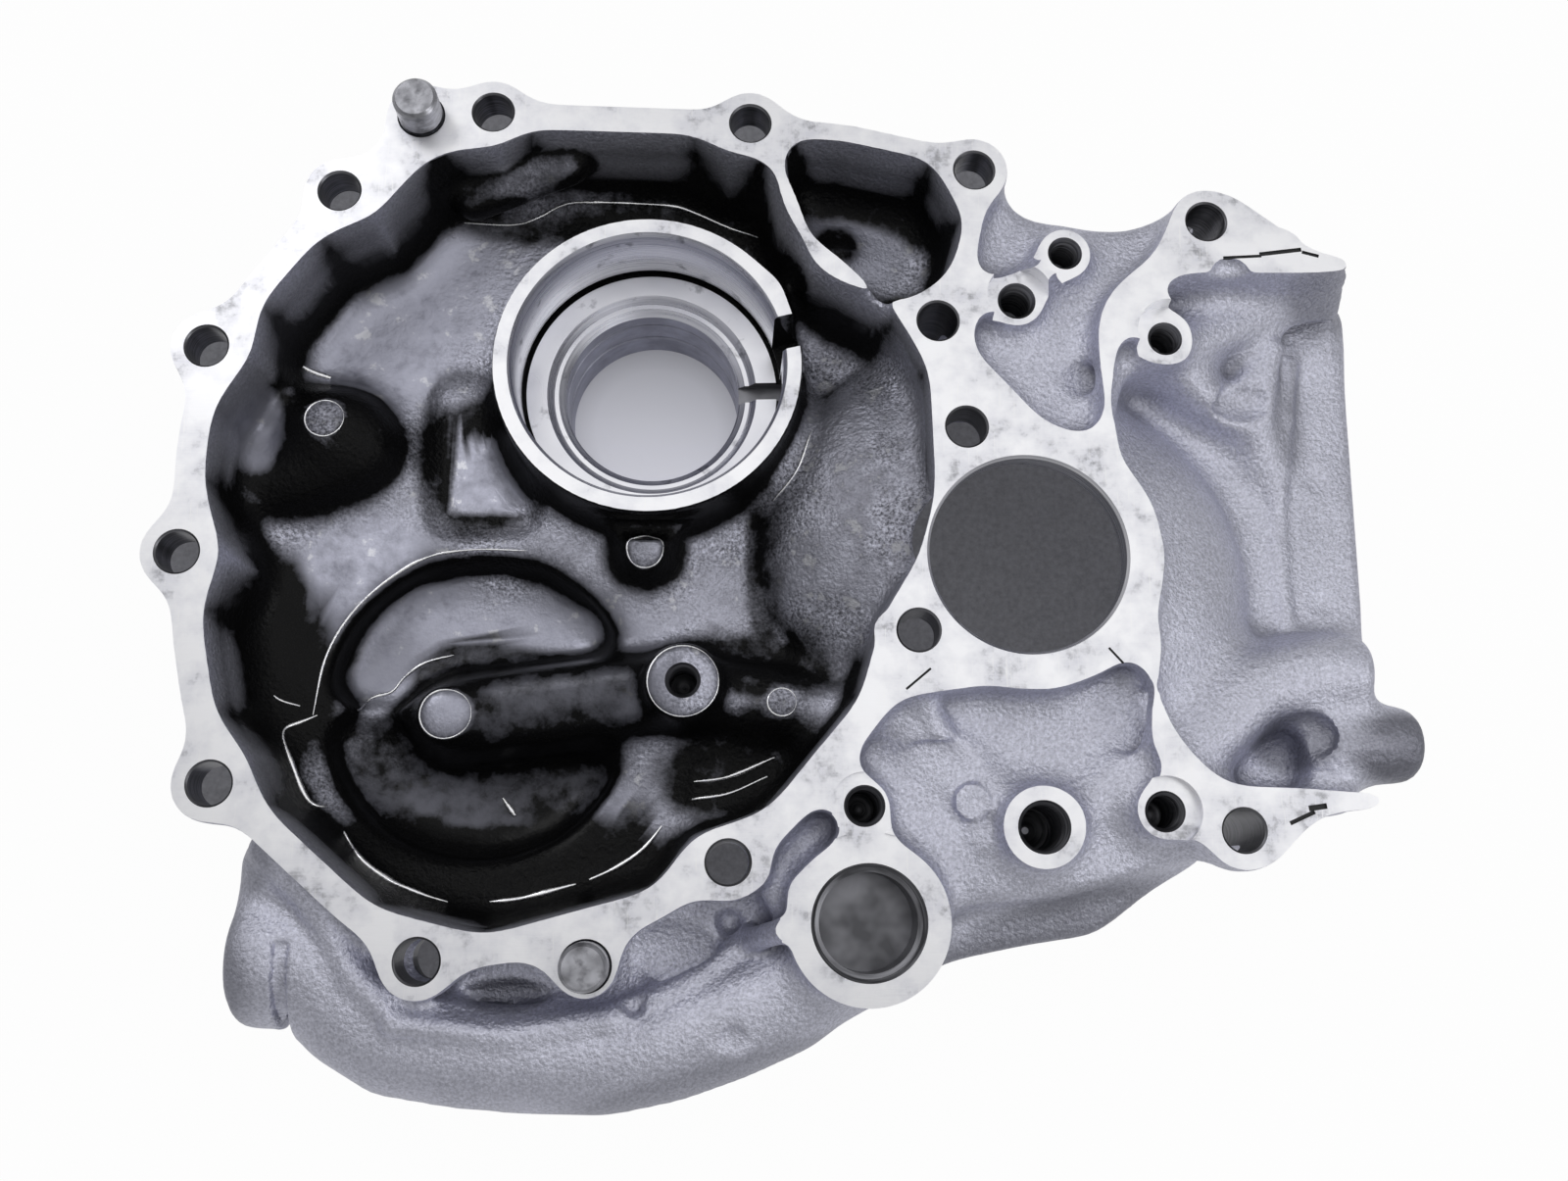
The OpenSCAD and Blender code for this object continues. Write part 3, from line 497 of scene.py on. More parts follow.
def thread_profile(radius, top, depth, pitch=1.25):
    """A tapped hole whose thread shows as rings."""
    groove = pitch * 0.42
    rows = [(AXIS, top - depth - radius * 0.5), (radius * 0.96, top - depth)]
    z = top - depth + 1
    while z < top - 1.4:
        rows += [(radius, z), (radius + groove, z + pitch / 2)]
        z += pitch
    rows += [(radius, top - 1.1), (radius + 0.9, top), (radius + 0.9, top + 0.6), (AXIS, top + 0.6)]
    return rows


def ring(profile, place, sides=180):
    """Points and faces of a ring turned about an upright axis, from a closed row of (radius, z) pairs."""
    n = len(profile)
    turns = 2 * math.pi * np.arange(sides) / sides
    points = [
        (place[0] + r * math.cos(t), place[1] + r * math.sin(t), z)
        for t in turns for r, z in profile
    ]
    faces = []
    for side in range(sides):
        a, b = side * n, ((side + 1) % sides) * n
        for k in range(n):
            m = (k + 1) % n
            faces.append((a + k, b + k, b + m, a + m))
    return points, faces


def pinion_bore_profile():
    """The pinion bore below the seat, with two shallow rings in its wall."""
    return [
        (AXIS, BOSS_END - 2), (PINION_R + 2, BOSS_END - 2), (PINION_R + 2, BOSS_END + 0.5),
        (PINION_R, BOSS_END + 2.5), (PINION_R, -45), (PINION_R + 0.5, -44.8),
        (PINION_R + 0.5, -44), (PINION_R, -43.8), (PINION_R, -37), (PINION_R + 0.5, -36.8),
        (PINION_R + 0.5, -36.2), (PINION_R, -36), (PINION_R, -31.4), (AXIS, -31.4),
    ]


def bearing_profile():
    """Seat, relief groove, shoulder and stepped rim of the pinion bearing."""
    return [
        (AXIS, -31.8), (PINION_R - 0.1, -31.8), (PINION_R + 1.6, -30),
        (PINION_R + 2.6, -30), (PINION_R + 4.2, SEAT_END), (SEAT_R - 0.6, SEAT_END),
        (SEAT_R + 1.0, SEAT_END - 0.6), (SEAT_R + 1.0, SEAT_END + 1.4), (SEAT_R, SEAT_END + 1.8),
        (SEAT_R, SEAT_TOP - 1.2), (SEAT_R + 0.8, SEAT_TOP), (SEAT_R + 0.8, SEAT_TOP + 2),
        (AXIS, SEAT_TOP + 2),
    ]


def seat_groove_profile():
    """The dark groove at the foot of the seat."""
    return [
        (SEAT_R - 0.9, SEAT_END - 1.2), (SEAT_R + 1.4, SEAT_END - 1.2),
        (SEAT_R + 1.4, SEAT_END + 1.5), (SEAT_R - 0.9, SEAT_END + 1.5),
    ]


def shaft_profile():
    """The shaft's clearance bore with a thin bright edge."""
    return [
        (AXIS, -12), (SHAFT_R, -12), (SHAFT_R, -0.6), (SHAFT_R + 0.6, 0), (SHAFT_R + 0.6, 1), (AXIS, 1),
    ]


def port_profile():
    """The stepped, blind oil port."""
    return [
        (AXIS, -13), (PORT_R - 1, -13), (PORT_R - 1, -3.6), (PORT_R, -3.2), (PORT_R, -1.8),
        (PORT_R + 0.8, PORT_TOP), (PORT_R + 0.8, PORT_TOP + 1), (AXIS, PORT_TOP + 1),
    ]


def machined(thing, materials):
    """Cuts the joint face, the bores, the holes and the pads into the casting."""
    face, bore, hole = materials["face"], materials["bore"], materials["hole"]
    cut_with(thing, [box((-260, -200, 0), (160, 200, 20))], face)
    faced = [(place, pad_r + 1.2, top, top + 9) for place, _, top, pad_r, _ in TAPS if place != STOP]
    faced += [(PORT, PORT_FACE_R + 1.2, PORT_TOP, 3), (PINION, RING_R + 2, SEAT_TOP, -1)]
    for place, radius, low, high in faced:
        mill = [(AXIS, low), (radius, low), (radius, high), (AXIS, high)]
        cut_with(thing, [lathe(mill, place)], face)
    cut_with(thing, [lathe(pinion_bore_profile(), PINION, 180)], materials["bore_shade"])
    cut_with(thing, [lathe(bearing_profile(), PINION, 180)], bore)
    cut_with(thing, [ring(seat_groove_profile(), PINION)], materials["cast"])
    cut_with(thing, [lathe(shaft_profile(), (0, 0), 160)], bore)
    cut_with(thing, [lathe(port_profile(), PORT)], hole)
    holes = [lathe(hole_profile(BOLT_R, 0, BOLT_DEPTH), place, 48) for place in BOLTS]
    holes += [
        lathe(hole_profile(DOWEL_R, 0, DOWEL_DEPTH), place, 48) for place in (UPPER_DOWEL, LOWER_DOWEL)
    ]
    holes += [lathe(thread_profile(r, top, depth), place, 48) for place, r, top, _, depth in TAPS]
    cut_with(thing, holes, hole)
    slot = box(
        (PINION_R - 2, -OIL_SLOT_HALF, SEAT_END - 4), (RING_R + 1, OIL_SLOT_HALF, SEAT_END + 9),
        PINION, math.radians(OIL_SLOT_TURN),
    )
    cut_with(thing, [slot], hole)
    gap = box(
        (SEAT_R - 1, -RING_GAP_W / 2, SEAT_END + 2), (RING_R + 1.5, RING_GAP_W / 2, SEAT_TOP + 2),
        PINION, math.radians(RING_GAP_TURN),
    )
    cut_with(thing, [gap], materials["cast"])
    for place, length, width, turn in GOUGES:
        scratch = box(
            (-length / 2, -width / 2, -0.5), (length / 2, width / 2, 1), place, math.radians(turn)
        )
        cut_with(thing, [scratch], materials["black"])


def outline_distance(points, outline):
    """Distance from points to an outline, positive inside it."""
    inside = np.zeros(len(points), bool)
    nearest = np.full(len(points), 1e9)
    for (ax, ay), (bx, by) in zip(outline, outline[1:] + outline[:1]):
        d = np.array([bx - ax, by - ay])
        rel = points[:, :2] - (ax, ay)
        t = np.clip(rel @ d / (d @ d), 0, 1)
        nearest = np.minimum(nearest, np.hypot(rel[:, 0] - t * d[0], rel[:, 1] - t * d[1]))
        crosses = (ay > points[:, 1]) != (by > points[:, 1])
        with np.errstate(divide="ignore", invalid="ignore"):
            at = ax + (points[:, 1] - ay) * (bx - ax) / (by - ay)
        inside ^= crosses & (points[:, 0] < at)
    return np.where(inside, nearest, -nearest)


# How far around a point its share of metal is taken, which tells corners from edges and places the painted
# shade in inside corners
CORNER_REACH = 2.6
# Heights between which the cavity is oiled
OIL_TOP = -0.2
OIL_END = -42.5
# How the oil lies on the cavity's floors: place, radii, turn in degrees, and how wet, from 0 to 1
OIL_PATCHES = [
    ((-122, -30), (40, 40), 0, 0.78), ((-168, -20), (13, 28), 10, 0.95),
    ((-118, -66), (50, 13), 0, 0.97), ((-62, -44), (22, 13), 15, 0.9),
    ((-163, 28), (21, 17), 10, 0.97), ((-124, 30), (17, 23), 0, 0.93), ((-85, 5), (11, 10), 0, 0.92),
    ((-52, 78), (30, 12), -40, 0.85), ((-95, 90), (45, 9), 0, 0.85), ((-57, 4), (5, 26), 0, 0.7),
    ((-60, -22), (22, 9), -8, 0.85), ((-34, 82), (26, 20), 0, 0.93), ((-176, 34), (7, 6), 0, 0.35),
    ((-151, 3), (14, 12), 20, 0.02), ((-132, -4), (24, 9), 32, 0.12),
    ((-112, -8), (20, 8), -12, 0.18), ((-147, -22), (7, 14), -25, 0.3),
    ((-104, -25), (19, 8), 4, 0.7), ((-129, -33), (6, 6), 0, 0.2), ((-75, -27), (10, 10), 0, 0.12),
    ((-79, -27), (5, 9), 0, 0.4), ((-36, 22), (22, 42), 0, 0.36), ((-158.5, 34), (5, 5), 0, 0.45),
    ((-84.8, 4.4), (4.6, 4.6), 0, 0.25), ((-53.4, -31), (4, 4), 0, 0.4),
    ((-128, 58), (22, 14), 36, 0.1), ((-128, -52), (18, 6), -12, 0.66),
    ((-34, 79), (19, 10), -15, 0.3), ((-40, 82), (6, 6), 0, 0.9), ((-113, 93), (15, 6), 18, 0.75),
]
# The same on the slopes, where the oil is black otherwise; the patch on the bulge of the upper wall is a
# painted highlight
SLOPE_PATCHES = [
    ((-174, 32), (6, 12), 0, 0.45), ((-112, 92), (11, 3), 16, 0.62),
]
# Light part of the recess's floor
RECESS_FLOOR = [(-131.9, 34.3), (-120, 34.1), (-111.3, 20), (-111.9, 16), (-132.1, 16)]
# Where the oiled skin is smooth: place, radii, turn in degrees, and how much, from 0 to 1
SMOOTH_PATCHES = [
    ((-140, 62), (32, 20), 42, 1), ((-150, -8), (26, 24), 30, 1), ((-108, -24), (36, 24), 0, 0.9),
    ((-118, -52), (36, 14), 0, 1), ((-174, 32), (8, 14), 0, 1), ((-84.5, 45.4), (49, 49), 0, 0),
    ((-122, 26), (13, 12), 0, 1), ((-36, 82), (16, 12), 0, 0.7),
]
# Painted shade on the outer skin, on its low parts and in its hollows: place, radii, turn in degrees, and
# how dark, from 0 to 1
PAINTED_SHADE_PATCHES = [
    ((-178, -88), (15, 20), 0, 0.55), ((90, -41), (18, 9), 0, 0.85), ((2, -84), (36, 10), 20, 0.6),
    ((64, -39), (9, 7), 0, 0.6), ((78, 68), (14, 8), 0, 0.45), ((-170, -66), (10, 8), 0, 0.4),
    ((-60, -112), (60, 7), 14, 0.35), ((70, 40), (6, 14), 0, 0.3), ((-112, -94), (9, 4), 0, 0.7),
]


def spread_patches(points, start, patches):
    """A value at each point that soft elliptical patches, one after the other, pull to their amounts."""
    value = np.zeros(len(points)) + start
    for (cx, cy), (rx, ry), turn, amount in patches:
        c, s = math.cos(math.radians(turn)), math.sin(math.radians(turn))
        x, y = points[:, 0] - cx, points[:, 1] - cy
        u = (x * c + y * s) / rx
        v = (-x * s + y * c) / ry
        share = np.clip(2.6 - 2.3 * np.hypot(u, v), 0, 1)
        value += (amount - value) * share * share * (3 - 2 * share)
    return value


def paint(thing, volume):
    """Stores at each point of the casting what its material needs.

    oil: 1 inside the cavity and the pocket; wet: how thick the film is there, and a painted highlight on
    the upper wall's bulge; corner: over 0.5 in an inside corner, where shade is painted; grime: painted
    shade on the low outer skin and in its hollows; calm: how smooth the skin is.
    """
    mesh = thing.data
    points = np.empty(len(mesh.vertices) * 3, np.float32)
    mesh.vertices.foreach_get("co", points)
    points = points.reshape(-1, 3) / MM
    metal_share = blurred((volume.field < 0).astype(np.float32), (CORNER_REACH / STEP,) * 3)
    corner = volume.sample(metal_share, points)
    reach = np.maximum(outline_distance(points, CAVITY), outline_distance(points, POCKET))
    below_face, above_back = points[:, 2] < OIL_TOP, points[:, 2] > OIL_END
    oil = np.clip((reach + 0.3) / 1.2, 0, 1) * below_face * above_back
    wet = spread_patches(points, 0.16, OIL_PATCHES)
    painted_shade = spread_patches(points, 0, PAINTED_SHADE_PATCHES)
    level = np.clip((volume.slope(points, 1.3)[:, 2] - 0.55) / 0.35, 0, 1)
    dome = np.clip((outline_distance(points, DOME) + 2) / 6, 0, 1) * (points[:, 2] < -6)
    level = np.maximum(level, dome)
    wet = spread_patches(points, 1 - (1 - wet) * level, SLOPE_PATCHES)
    wet *= 1 - np.clip((outline_distance(points, RECESS_FLOOR) + 0.8) / 1.6, 0, 1) * level
    calm = spread_patches(points, 0, SMOOTH_PATCHES)
    values = {"oil": oil, "wet": wet, "corner": corner, "painted_shade": painted_shade, "calm": calm}
    for name, value in values.items():
        attribute = mesh.attributes.new(name, "FLOAT", "POINT")
        attribute.data.foreach_set("value", value.astype(np.float32))


# Painted highlights: white mirror beads along the feet of the cavity's walls, where the oil catches the
# light: places, and half the width
GLEAMS = [
    ([(-113, 6, -28), (-133, 5, -28), (-144, -1, -28), (-153, -10, -28), (-158, -20, -28),
      (-160, -33, -28)], 0.3),
    ([(-159, -33, -28), (-163, -35, -28), (-166, -37, -26), (-164, -43, -24), (-160, -50, -23),
      (-157, -53, -23), (-155, -54, -26)], 0.5),
    ([(-169, -29, -27), (-168, -30, -28), (-163, -31, -28)], 0.4),
    ([(-150, -32, -30), (-150, -28, -38), (-145, -26, -39), (-143, -23, -39), (-138, -19, -39),
      (-131, -17, -39)], 0.3),
    ([(-151, -60, -25), (-145, -65, -21), (-141, -69, -22), (-135, -73, -25), (-127, -75, -25)], 0.5),
    ([(-118, -75, -27), (-110, -74, -27), (-99, -71, -27)], 0.45),
    ([(-96, -70, -27), (-90, -67, -27), (-84, -63, -28), (-80, -58, -28)], 0.5),
    ([(-73, -48, -26), (-65, -47, -28), (-54, -42, -27)], 0.35),
    ([(-73, -52, -27), (-65, -51, -28), (-56, -47, -28)], 0.3),
    ([(-118, -51, -39), (-115, -55, -39)], 0.5),
    ([(-131, 88, -26), (-119, 88, -27), (-113, 90, -27), (-106, 94, -27), (-96, 94, -26),
      (-81, 94, -27), (-74, 92, -27), (-65, 88, -27), (-58, 85, -25)], 0.4),
    ([(-168, 49, -25), (-161, 47, -28)], 0.6),
    ([(-54, 18, -24), (-46, 33, -20)], 0.25),
]
# Round tops in the cavity whose rims get a painted highlight: place and radius
RIMS = [
    (STOP, 8.6), ((-129.4, -33.2), 6.2), ((-158.5, 34), 4.5), ((-84.8, 4.4), 4.4), ((-53.4, -31), 3.2),
]
RIM_HALF = 0.16
# All beads are this much wider than their half widths say, and vary at every fourth point
GLEAM_SCALE = 1.7
GLEAM_KNOTS = 4


def smooth_line(knots, spacing=0.9):
    """Points at an even spacing along a soft curve through the knots."""
    k = np.array([knots[0]] + list(knots) + [knots[-1]], float)
    points = []
    for a, b, c, d in zip(k, k[1:], k[2:], k[3:]):
        count = max(2, int(np.linalg.norm(c - b) / spacing))
        t = (np.arange(count) / count)[:, None]
        points.append(0.5 * (2 * b + (c - a) * t + (2 * a - 5 * b + 4 * c - d) * t ** 2
                             + (3 * b - a - 3 * c + d) * t ** 3))
    return np.vstack(points + [k[-1:]])


def make_gleams(volume, material):
    """The painted highlights of the oil, as white beads laid on the casting as one curve object."""
    random = np.random.default_rng(7)
    data = bpy.data.curves.new("oil_gleams", "CURVE")
    data.dimensions = "3D"
    data.bevel_depth = MM
    data.bevel_resolution = 2
    data.use_fill_caps = True
    turns = np.linspace(0.3, 0.3 + 2 * math.pi, 25)
    rims = []
    for (x, y), radius in RIMS:
        z = volume.top(x, y) - 0.4
        circle = [(x + radius * math.cos(t), y + radius * math.sin(t), z) for t in turns]
        rims.append((circle, RIM_HALF))
    for knots, half in GLEAMS + rims:
        points = volume.land(smooth_line(knots).astype(np.float32), 0.05)
        for _ in range(2):
            points[1:-1] = (points[:-2] + 2 * points[1:-1] + points[2:]) / 4
        count = len(points)
        taper = np.sqrt(np.sin(math.pi * (np.arange(count) + 0.7) / (count + 0.4)))
        bends = np.arange(0, count + GLEAM_KNOTS, GLEAM_KNOTS)
        swells = random.uniform(0.45, 1.2, count // GLEAM_KNOTS + 2)[:len(bends)]
        wave = np.interp(np.arange(count), bends, swells)
        spline = data.splines.new("POLY")
        spline.points.add(count - 1)
        for i, (x, y, z) in enumerate(points):
            spline.points[i].co = (x * MM, y * MM, z * MM, 1)
            spline.points[i].radius = half * taper[i] * wave[i] * GLEAM_SCALE
    made = bpy.data.objects.new("oil_gleams", data)
    bpy.context.scene.collection.objects.link(made)
    data.materials.append(material)
    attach(made, "root")


def add_details(volume):
    """Small cast forms that filleting would lose."""
    for row in range(FINS):
        start = np.array(FIRST_FIN) - (0, FIN_PITCH * row, 0)
        volume.add(*capsule(start, start + FIN_RUN, 0.9, 0.6), 0.8)
    volume.add(*capsule(*WALL_BULGE), 4)
    for part in CONE_GAP:
        volume.cut(*capsule(*part), 1.2)
    for line, radius, proud in RIDGES:
        places = [(x, y, volume.top(x, y) - radius + proud) for x, y in line]
        for a, b in zip(places, places[1:]):
            volume.add(*capsule(a, b, radius), 2)
    for (x, y), (rx, ry), depth in HOLLOWS:
        volume.cut(*ellipsoid((x, y, volume.top(x, y)), (rx, ry, depth)), 1.6)
    for x, y in EJECTOR_MARKS:
        z = volume.top(x, y)
        volume.add(*column((x, y), EJECTOR_R, z - 4, z + 0.6))
        volume.cut(*column((x, y), EJECTOR_R - 0.9, z + 0.1, z + 2))
    volume.cut(*hose_groove(), 0.6)


def hose_groove():
    """The groove around the hose stub behind its collar, on the side away from the flange."""
    y0, z0 = HOSE_AXIS

    def shape(x, y, z):
        width = np.abs(x - HOSE_GROOVE_X) - HOSE_GROOVE_HALF
        depth = HOSE_R - np.hypot(y - y0, z - z0)
        return np.maximum(np.maximum(width, y - y0 - 4), depth)

    return (HOSE_GROOVE_X - 2, y0 - 20, z0 - 20), (HOSE_GROOVE_X + 2, y0 + 6, z0 + 20), shape


def make_housing(materials):
    """The casting: its CAD form, filleted and blended as cast, then machined."""
    volume = casting_volume()
    volume.close(FILLET)
    volume.smooth(LEVEL_SOFTNESS, UPRIGHT_SOFTNESS)
    add_details(volume)
    points, triangles, quads = volume.polygons()
    faces = [tuple(q) for q in quads.tolist()] + [tuple(t) for t in triangles.tolist()]
    housing = mesh_object("housing_casting", points.tolist(), faces, materials["cast"])
    count = 2 * len(quads) + len(triangles)
    if count > MAX_TRIANGLES:
        modifier = housing.modifiers.new("thin", "DECIMATE")
        modifier.ratio = MAX_TRIANGLES / count
        apply_modifiers(housing)
    machined(housing, materials)
    paint(housing, volume)
    housing.data.shade_smooth()
    housing.data.set_sharp_from_angle(angle=SHARP_ANGLE)
    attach(housing, "root")
    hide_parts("housing")
    return volume


class Nodes:
    """A short way to write a material's nodes."""

    def __init__(self, name):
        self.material = bpy.data.materials.new(name)
        self.material.use_nodes = True
        self.tree = self.material.node_tree
        self.tree.nodes.clear()
        self.out = self.tree.nodes.new("ShaderNodeOutputMaterial")
        self.place = self.tree.nodes.new("ShaderNodeTexCoord").outputs["Object"]

    def node(self, kind, inputs=None, **settings):
        """A node with its settings, and its inputs as values or as links."""
        made = self.tree.nodes.new(kind)
        for key, value in settings.items():
            setattr(made, key, value)
        for key, value in (inputs or {}).items():
            socket = made.inputs[key]
            if isinstance(value, bpy.types.NodeSocket):
                self.tree.links.new(value, socket)
            else:
                socket.default_value = value
        return made

    def noise(self, size, detail=3.0, rough=0.55, stretch=None):
        """Noise whose features are about that many millimetres wide."""
        place = self.place
        if stretch:
            place = self.node("ShaderNodeMapping", {"Vector": place, "Scale": stretch}).outputs[0]
        made = self.node(
            "ShaderNodeTexNoise",
            {"Vector": place, "Scale": 1 / (size * MM), "Detail": detail, "Roughness": rough},
        )
        return made.outputs["Fac"]

    def attribute(self, name):
        """A value that paint stored at the points of the mesh."""
        return self.node("ShaderNodeAttribute", attribute_name=name).outputs["Fac"]

    def span(self, value, low, high, to_low=0.0, to_high=1.0):
        """Maps one range of values to another, and clamps them."""
        made = self.node(
            "ShaderNodeMapRange",
            {"Value": value, "From Min": low, "From Max": high, "To Min": to_low, "To Max": to_high},
        )
        return made.outputs["Result"]

    def math(self, kind, a, b=0.0):
        """One step of arithmetic."""
        return self.node("ShaderNodeMath", {0: a, 1: b}, operation=kind, use_clamp=False).outputs[0]

    def mix(self, factor, a, b):
        """A colour between two others."""
        made = self.node("ShaderNodeMix", data_type="RGBA")
        for key, value in ((0, factor), (6, a), (7, b)):
            if isinstance(value, bpy.types.NodeSocket):
                self.tree.links.new(value, made.inputs[key])
            else:
                made.inputs[key].default_value = value
        return made.outputs[2]

    def bump(self, height, depth, normal=None):
        """Relief of that many millimetres."""
        inputs = {"Height": height, "Distance": depth * MM, "Strength": 1.0}
        if normal:
            inputs["Normal"] = normal
        return self.node("ShaderNodeBump", inputs).outputs["Normal"]

    def principled(self, **inputs):
        """Ends the material with its shader."""
        named = {key.replace("_", " "): value for key, value in inputs.items()}
        shader = self.node("ShaderNodeBsdfPrincipled", named)
        self.tree.links.new(shader.outputs[0], self.out.inputs["Surface"])
        return self.material


def grey(value, blue=0.06):
    """A bluish grey."""
    return (value * (1 - blue * 0.5), value * (1 - blue * 0.4), value * (1 + blue), 1)


def cast_material():
    """Grainy die-cast skin, blackened and wet with oil inside the cavity; painted shade darkens inside
    corners, the low outer parts and the hollows.
    """
    n = Nodes("cast_skin")
    grain = n.noise(0.7, 3.0, 0.65)
    cloud = n.noise(16, 4.0)
    stain = n.noise(5, 4.0, 0.6)
    fine = n.noise(0.25, 2.0)
    oil = n.attribute("oil")
    corner = n.attribute("corner")
    # Dry skin outside the cavity
    tone = n.mix(n.span(cloud, 0.3, 0.7), grey(0.64, 0.11), grey(0.78, 0.11))
    pits = n.mix(0.36, tone, grey(0.2, 0.12))
    tips = n.mix(0.4, tone, grey(0.9, 0.1))
    speck = n.mix(n.span(grain, 0.36, 0.66), pits, tips)
    # Painted shade: the low outer parts and the hollows of the skin are darkened
    painted_shade = n.math("MULTIPLY", n.attribute("painted_shade"), n.span(cloud, 0.3, 0.6, 0.75, 1.0))
    shaded_skin = n.mix(painted_shade, speck, grey(0.1, 0.15))
    # Painted shade: inside corners of the skin are darkened
    skin = n.mix(n.span(corner, 0.58, 0.78), shaded_skin, grey(0.14, 0.15))
    # Oiled skin inside it: grey where the film is thin, black where it is thick, and black in inside
    # corners as painted shade
    uneven = n.math("ADD", n.attribute("wet"), n.span(stain, 0.3, 0.7, -0.14, 0.14))
    film = n.span(uneven, 0.1, 0.85)
    crease_shade = n.span(corner, 0.6, 0.74)
    film = n.math("MAXIMUM", film, crease_shade)
    patchy = n.span(n.noise(22, 3.0), 0.42, 0.58)
    sooty = n.mix(patchy, grey(0.42, 0.12), grey(0.16, 0.12))
    glinty = n.mix(patchy, grey(0.56, 0.12), grey(0.85, 0.12))
    damp = n.mix(n.span(grain, 0.36, 0.64), sooty, glinty)
    calm = n.attribute("calm")
    smooth = n.mix(n.span(stain, 0.3, 0.62), grey(0.3, 0.14), grey(0.56, 0.13))
    damp = n.mix(calm, damp, smooth)
    damp = n.mix(n.span(stain, 0.62, 0.68), damp, grey(0.86, 0.06))
    oily = n.mix(n.span(fine, 0.5, 0.75), grey(0.004), grey(0.014))
    inside = n.mix(film, damp, oily)
    colour = n.mix(oil, skin, inside)
    wet = n.math("MULTIPLY", oil, film)
    rough = n.span(n.math("MULTIPLY", oil, n.span(film, 0, 1, 0.35, 1.0)), 0.0, 1.0, 0.44, 0.26)
    metal = n.span(wet, 0.0, 1.0, 0.8, 0.0)
    coarse = n.noise(1.2, 2.0, 0.5)
    relief = n.math("ADD", n.math("MULTIPLY", grain, 0.6), n.math("MULTIPLY", coarse, 0.9))
    rise = n.math("MULTIPLY", relief, n.span(n.math("MULTIPLY", calm, oil), 0.0, 1.0, 1.0, 0.15))
    bump = n.bump(rise, 0.36, n.bump(cloud, 0.4))
    shine = n.span(wet, 0.0, 1.0, 0.35, 0.1)
    return n.principled(Base_Color=colour, Metallic=metal, Roughness=rough, Normal=bump,
                        Specular_IOR_Level=shine)


def gleam_material():
    """White mirror metal that paints the highlights of the oil."""
    n = Nodes("oil_gleam")
    spots = n.noise(0.8, 2.0)
    colour = n.mix(n.span(spots, 0.3, 0.6), grey(0.75), grey(1.0, 0.0))
    return n.principled(Base_Color=colour, Metallic=1.0, Roughness=n.span(spots, 0.3, 0.7, 0.2, 0.4),
                        Normal=n.bump(spots, 0.05))


def face_material():
    """Milled joint face: near white, with smudges and light scratches."""
    n = Nodes("machined_face")
    smudge = n.noise(13, 5.0, 0.6)
    spots = n.noise(2.5, 4.0, 0.6)
    lines = n.noise(0.35, 2.0, 0.5, (0.06, 1.0, 1.0))
    cross = n.noise(0.5, 2.0, 0.5, (1.0, 0.05, 1.0))
    base = n.mix(n.span(smudge, 0.34, 0.58), grey(0.76, 0.06), grey(0.97, 0.02))
    dirt = n.math("MULTIPLY", n.span(smudge, 0.36, 0.46, 1.0, 0.0), n.span(spots, 0.46, 0.62))
    marks = n.mix(n.math("MULTIPLY", dirt, 0.75), base, grey(0.24))
    light = n.mix(n.math("MULTIPLY", n.span(cross, 0.62, 0.72), 0.5), marks, grey(0.97, 0.0))
    colour = n.mix(n.math("MULTIPLY", n.span(lines, 0.3, 0.7), 0.25), light, grey(0.95, 0.02))
    rough = n.span(smudge, 0.3, 0.7, 0.44, 0.34)
    return n.principled(Base_Color=colour, Metallic=0.85, Roughness=rough, Normal=n.bump(lines, 0.012))


def bore_material():
    """Bored and polished seat, with turning marks around the axis."""
    n = Nodes("bored_seat")
    turns = n.noise(0.5, 2.0, 0.5, (0.02, 0.02, 1.0))
    stain = n.noise(6, 4.0)
    base = n.mix(n.span(turns, 0.35, 0.65), grey(0.62), grey(0.90, 0.03))
    colour = n.mix(n.span(stain, 0.62, 0.72), base, grey(0.35))
    return n.principled(Base_Color=colour, Metallic=1.0, Roughness=n.span(turns, 0.3, 0.7, 0.24, 0.36),
                        Normal=n.bump(turns, 0.015))


def bore_shade_material():
    """The wall of the pinion bore, painted dark grey as the shade in it and the dark reflection it shows.
    """
    n = Nodes("pinion_bore_wall")
    turns = n.noise(0.5, 2.0, 0.5, (0.02, 0.02, 1.0))
    stain = n.noise(7, 4.0)
    colour = n.mix(n.span(stain, 0.35, 0.65), grey(0.26, 0.14), grey(0.40, 0.14))
    return n.principled(Base_Color=colour, Metallic=0.8, Roughness=n.span(turns, 0.3, 0.7, 0.35, 0.5),
                        Normal=n.bump(turns, 0.02))


def black_material():
    """Near-black colour in a gouge."""
    n = Nodes("gouge_black")
    spots = n.noise(0.4, 2.0)
    colour = n.mix(n.span(spots, 0.3, 0.7), grey(0.01), grey(0.04))
    return n.principled(Base_Color=colour, Metallic=0.0, Roughness=n.span(spots, 0.3, 0.7, 0.5, 0.8))


def hole_material():
    """Drilled and tapped holes, painted darker than the faces as the shade inside them."""
    n = Nodes("drilled_hole")
    turns = n.noise(0.4, 2.0, 0.5, (0.05, 0.05, 1.0))
    colour = n.mix(n.span(turns, 0.35, 0.65), grey(0.10), grey(0.26))
    return n.principled(Base_Color=colour, Metallic=1.0, Roughness=n.span(turns, 0.3, 0.7, 0.3, 0.42),
                        Normal=n.bump(turns, 0.05))


